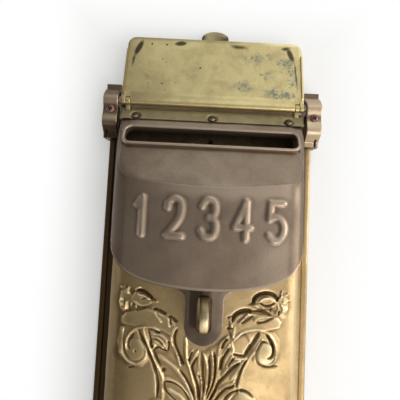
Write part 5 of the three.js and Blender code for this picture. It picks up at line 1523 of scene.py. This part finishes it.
# Round heads on the strip, darkened by painted shade on the side towards the flap.
def makeStripRivets(given):
    for number, x in enumerate(given["rivetX"], 1):
        seat = onSlope(*np.array([[x], [given["rivetAlong"]], [given["rivetSeat"]]]))[0]
        points, faces = turnedSolid(domeProfile(*given["rivet"]), seat, offSlope, 44)
        # painted shade on the side towards the flap
        wearAndPaintedLight = -0.1 - 0.9 * smoothStep((points - seat) @ -downSlope, -2.6, -0.6)
        addPiece(f"strip_rivet_head_{number}", points, faces, "hood", "stripBrass", "strip_brass",
                 (f"strip_rivet_{number}",), wearAndPaintedLight)


makeStrip(stripSettings)
makeStripRivets(stripSettings)
print("flange, flap and strip ready")


# ---- hinge brackets: bent straps with their screws

strapSettings = {
    "inner": 79.6, "outer": 92.0, "thickness": 2.2, "edge": 0.6, "spacing": 0.5,
    "line": [(-12.4, 10.5), (-16.75, 7.56), (-21.65, 0.8), (-19.1, -8.0), (-21.25, -18.8), (-15.75, -24.5),
             (-12.75, -27.0), (-12.4, -31.0)],  # (off the wall, up from the rod)
    "lineFrom": 18.0,  # the line is given for a rod this far off the wall
    "slit": (88.7, 1.5, -24.4),  # middle, width, top
    "screwDrop": 8.0, "screwRadius": 3.35, "screwSeat": -20.4, "screwHeight": 1.6,
    "recess": (1.9, 0.42, 1.05, 28),  # half length, half width, depth, turn in degrees
}


# The strap's middle line is offset to both sides for its thickness; its side edges are rounded. Below
# the slit's top it is two bands. Crests are rubbed, and it is darker at the screw. The left strap is
# darkened by painted shade and the right one lightened by painted light, most towards the lower end.
def makeStrap(word, sign, given):
    line = smoothLine(given["line"], 14)
    run = runAlong(line)
    line = pointsAt(line, run, np.linspace(0, run[-1], round(run[-1] / given["spacing"])))
    along = np.gradient(line, axis=0)
    normal = np.stack([along[:, 1], -along[:, 0]], 1) / np.linalg.norm(along, axis=1)[:, None]
    thick, edge, turn = given["thickness"] / 2, given["edge"], np.linspace(0, np.pi / 2, 4)
    inward, drop = edge * (1 - np.cos(turn))[:-1], edge * (1 - np.sin(turn))[:-1]

    # The strap between two sides over some rows of the line.
    def band(left, right, rows, middleSteps):
        across = np.concatenate([left + inward, np.linspace(left + edge, right - edge, middleSteps),
                                 right - inward[::-1]])
        level = thick - np.concatenate([drop, np.zeros(middleSteps), drop[::-1]])
        x, out = np.concatenate([across, across[::-1]]), np.concatenate([level, -level[::-1]])
        middle, off = line[rows], normal[rows]
        return ringStack(np.stack([np.broadcast_to(sign * x, (len(middle), len(x))),
                                   hingeY + given["lineFrom"] + middle[:, :1] + off[:, :1] * out,
                                   hingeZ + middle[:, 1:] + off[:, 1:] * out], -1))

    slitX, slitWidth, slitTop = given["slit"]
    slitStart = int(np.argmin(np.abs(line[:, 1] - slitTop)))
    low, high, below = given["inner"], given["outer"], slice(slitStart, len(line))
    points, faces = gathered(band(low, high, slice(0, slitStart + 1), 21),
                             band(low, slitX - slitWidth / 2, below, 13),
                             band(slitX + slitWidth / 2, high, below, 7))
    up = points[:, 2] - hingeZ
    wearAndPaintedLight = (0.55 * smoothStep(-points[:, 1], 19.6, 22.4)
            - 0.25 * smoothStep(-np.abs(up + given["screwDrop"]), -4.5, -3.0))
    # painted shade on the left strap, painted light on the right one
    if sign < 0:
        wearAndPaintedLight = wearAndPaintedLight - 0.2 * smoothStep(up, 3, 9) - 0.15 - 0.55 * smoothStep(-up, 16, 24)
    else:
        wearAndPaintedLight = wearAndPaintedLight + 0.15 * smoothStep(up, 3, 9) + 0.3 + 0.5 * smoothStep(-up, 10, 22)
    addPiece(f"strap_{word}", points, faces, "box", "copperBrown", "copper_brown",
             (f"hinge_strap_{word}",), wearAndPaintedLight)


# Screw head: a dome whose height follows an ellipse raised to a power, less a cross recess with
# sloping walls that is deepest in the middle, on a plain shank.
def makeScrew(word, sign, given):
    radius, height = given["screwRadius"], given["screwHeight"]
    armLength, armWidth, depth, recessTurn = given["recess"]
    away = (np.concatenate([np.linspace(0.03, 0.93, 30), [0.96, 0.985, 1.0]]) * radius)[:, None]
    turn = np.linspace(0, 2 * np.pi, 96, endpoint=False)
    x, z = away * np.cos(turn), away * np.sin(turn)
    dome = height * np.sqrt(np.clip(1 - (away / (radius * 1.02)) ** 2, 0.0, 1)) ** 0.8
    lean = math.radians(recessTurn * sign)
    crossX = np.abs(x * math.cos(lean) + z * math.sin(lean))
    crossZ = np.abs(-x * math.sin(lean) + z * math.cos(lean))
    arm = np.minimum(np.maximum(crossX - armLength, crossZ - armWidth),
                     np.maximum(crossZ - armLength, crossX - armWidth))
    deep = depth * (1 - smoothStep(arm, -0.22, 0.18)) * (1 - 0.35 * away / radius)
    centre = np.array((sign * (given["inner"] + given["outer"]) / 2, given["screwSeat"],
                       hingeZ - given["screwDrop"]))

    # Places off the screw's centre.
    def ringAt(x, off, z):
        return np.stack(np.broadcast_arrays(centre[0] + x, centre[1] + off, centre[2] + z), -1)

    shank = [ringAt(r * np.cos(turn), off, r * np.sin(turn))
             for r, off in ((radius, 0.4), (1.6, 0.4), (1.6, 15.0))]
    points, faces = ringStack(np.concatenate([ringAt(x, deep - dome, z), shank]))
    wearAndPaintedLight = 0.1 - 1.1 * np.append(deep, np.zeros(len(points) - deep.size))
    addPiece(f"screw_{word}", points, faces, "box", "screwSteel", "screw_steel",
             (f"hinge_screw_{word}",), wearAndPaintedLight)


for word, sign in (("left", -1), ("right", 1)):
    makeStrap(word, sign, strapSettings)
    makeScrew(word, sign, strapSettings)


# ---- staple and lift knob

stapleSettings = {"centre": (-60.0, 13.5), "radius": 12.2, "band": 4.6, "width": 6.5, "rear": -35.1,
                  "roundness": 0.62}


# The staple's section, an ellipse whose sines and cosines are raised to a power, is carried along one
# leg, round the front and back along the other. The front is rubbed and carries a painted highlight,
# more so below; its sides are dark.
def makeStaple(given):
    middle, power = given["radius"] - given["band"] / 2, given["roundness"]
    y, z = given["centre"]
    turn = np.linspace(-np.pi / 2, np.pi / 2, 61)[::-1]
    straight = np.linspace(given["rear"], y, 24)[:-1]
    level = np.full(len(straight), middle)
    path = np.concatenate([np.stack([straight, z + level], 1),
                           np.stack([y - middle * np.cos(turn), z + middle * np.sin(turn)], 1),
                           np.stack([straight[::-1], z - level], 1)])
    along = np.gradient(path, axis=0)
    out = np.stack([along[:, 1], -along[:, 0]], 1) / np.linalg.norm(along, axis=1)[:, None]
    spin = np.linspace(0, 2 * np.pi, 40, endpoint=False)
    sectionX, sectionOut = (given[key] / 2 * np.sign(wave) * np.abs(wave) ** power
                            for key, wave in (("width", np.cos(spin)), ("band", np.sin(spin))))
    points, faces = ringStack(np.stack([np.broadcast_to(sectionX, (len(path), len(spin))),
                                        path[:, :1] + out[:, :1] * sectionOut,
                                        path[:, 1:] + out[:, 1:] * sectionOut], -1))
    front = smoothStep(-points[:, 1], 62, 71) * smoothStep(z - points[:, 2], -7, 6)
    # painted highlight on the front, stronger below
    wearAndPaintedLight = 1.05 * front - 0.35 - 0.6 * smoothStep(np.abs(points[:, 0]), 2.2, 3.2)
    addPiece("staple_loop", points, faces, "box", "dullBrass", "yellow_brass", ("staple",), wearAndPaintedLight, 50)


knobSettings = {
    "half": 12.0, "rise": 6.95, "centre": 66.0, "near": 4.6, "far": 9.0, "edge": 1.1, "neckHalf": 4.5,
    # the neck's two sides from the flap up: (behind the rod's plane, up from the rod)
    "neckFront": [(0.75, 43.2), (0.75, 50), (1.0, 56), (2.6, 59), (4.4, 62), (5.4, 67)],
    "neckBack": [(5.4, 69.0), (5.6, 63), (4.2, 58.2), (2.6, 55), (1.7, 50), (1.2, 43.6)],
}


# The knob is an oval disc behind the open flap, on a bent neck, and dark towards its left and right.
def makeKnob(given):
    turn = np.linspace(0, 2 * np.pi, 96, endpoint=False)
    oval = np.stack([given["half"] * np.cos(turn), given["centre"] + given["rise"] * np.sin(turn)], 1)
    profile = np.concatenate([smoothLine(given[side], 6) for side in ("neckFront", "neckBack")])
    points, faces = gathered(
        slabSolid(oval, given["near"], given["far"], given["edge"], lambda a, b, h: onFlap(a, h, b)),
        slabSolid(profile, -given["neckHalf"], given["neckHalf"], 0.3, lambda a, b, h: onFlap(h, a, b)))
    wearAndPaintedLight = 0.05 - 0.85 * smoothStep(np.abs(points[:, 0]), 8.5, 11.0)
    addPiece("knob", points, faces, "flap", "dullBrass", "dull_brass", ("lift_knob",), wearAndPaintedLight, 50)


makeStaple(stapleSettings)
makeKnob(knobSettings)
print("brackets, staple and knob ready")
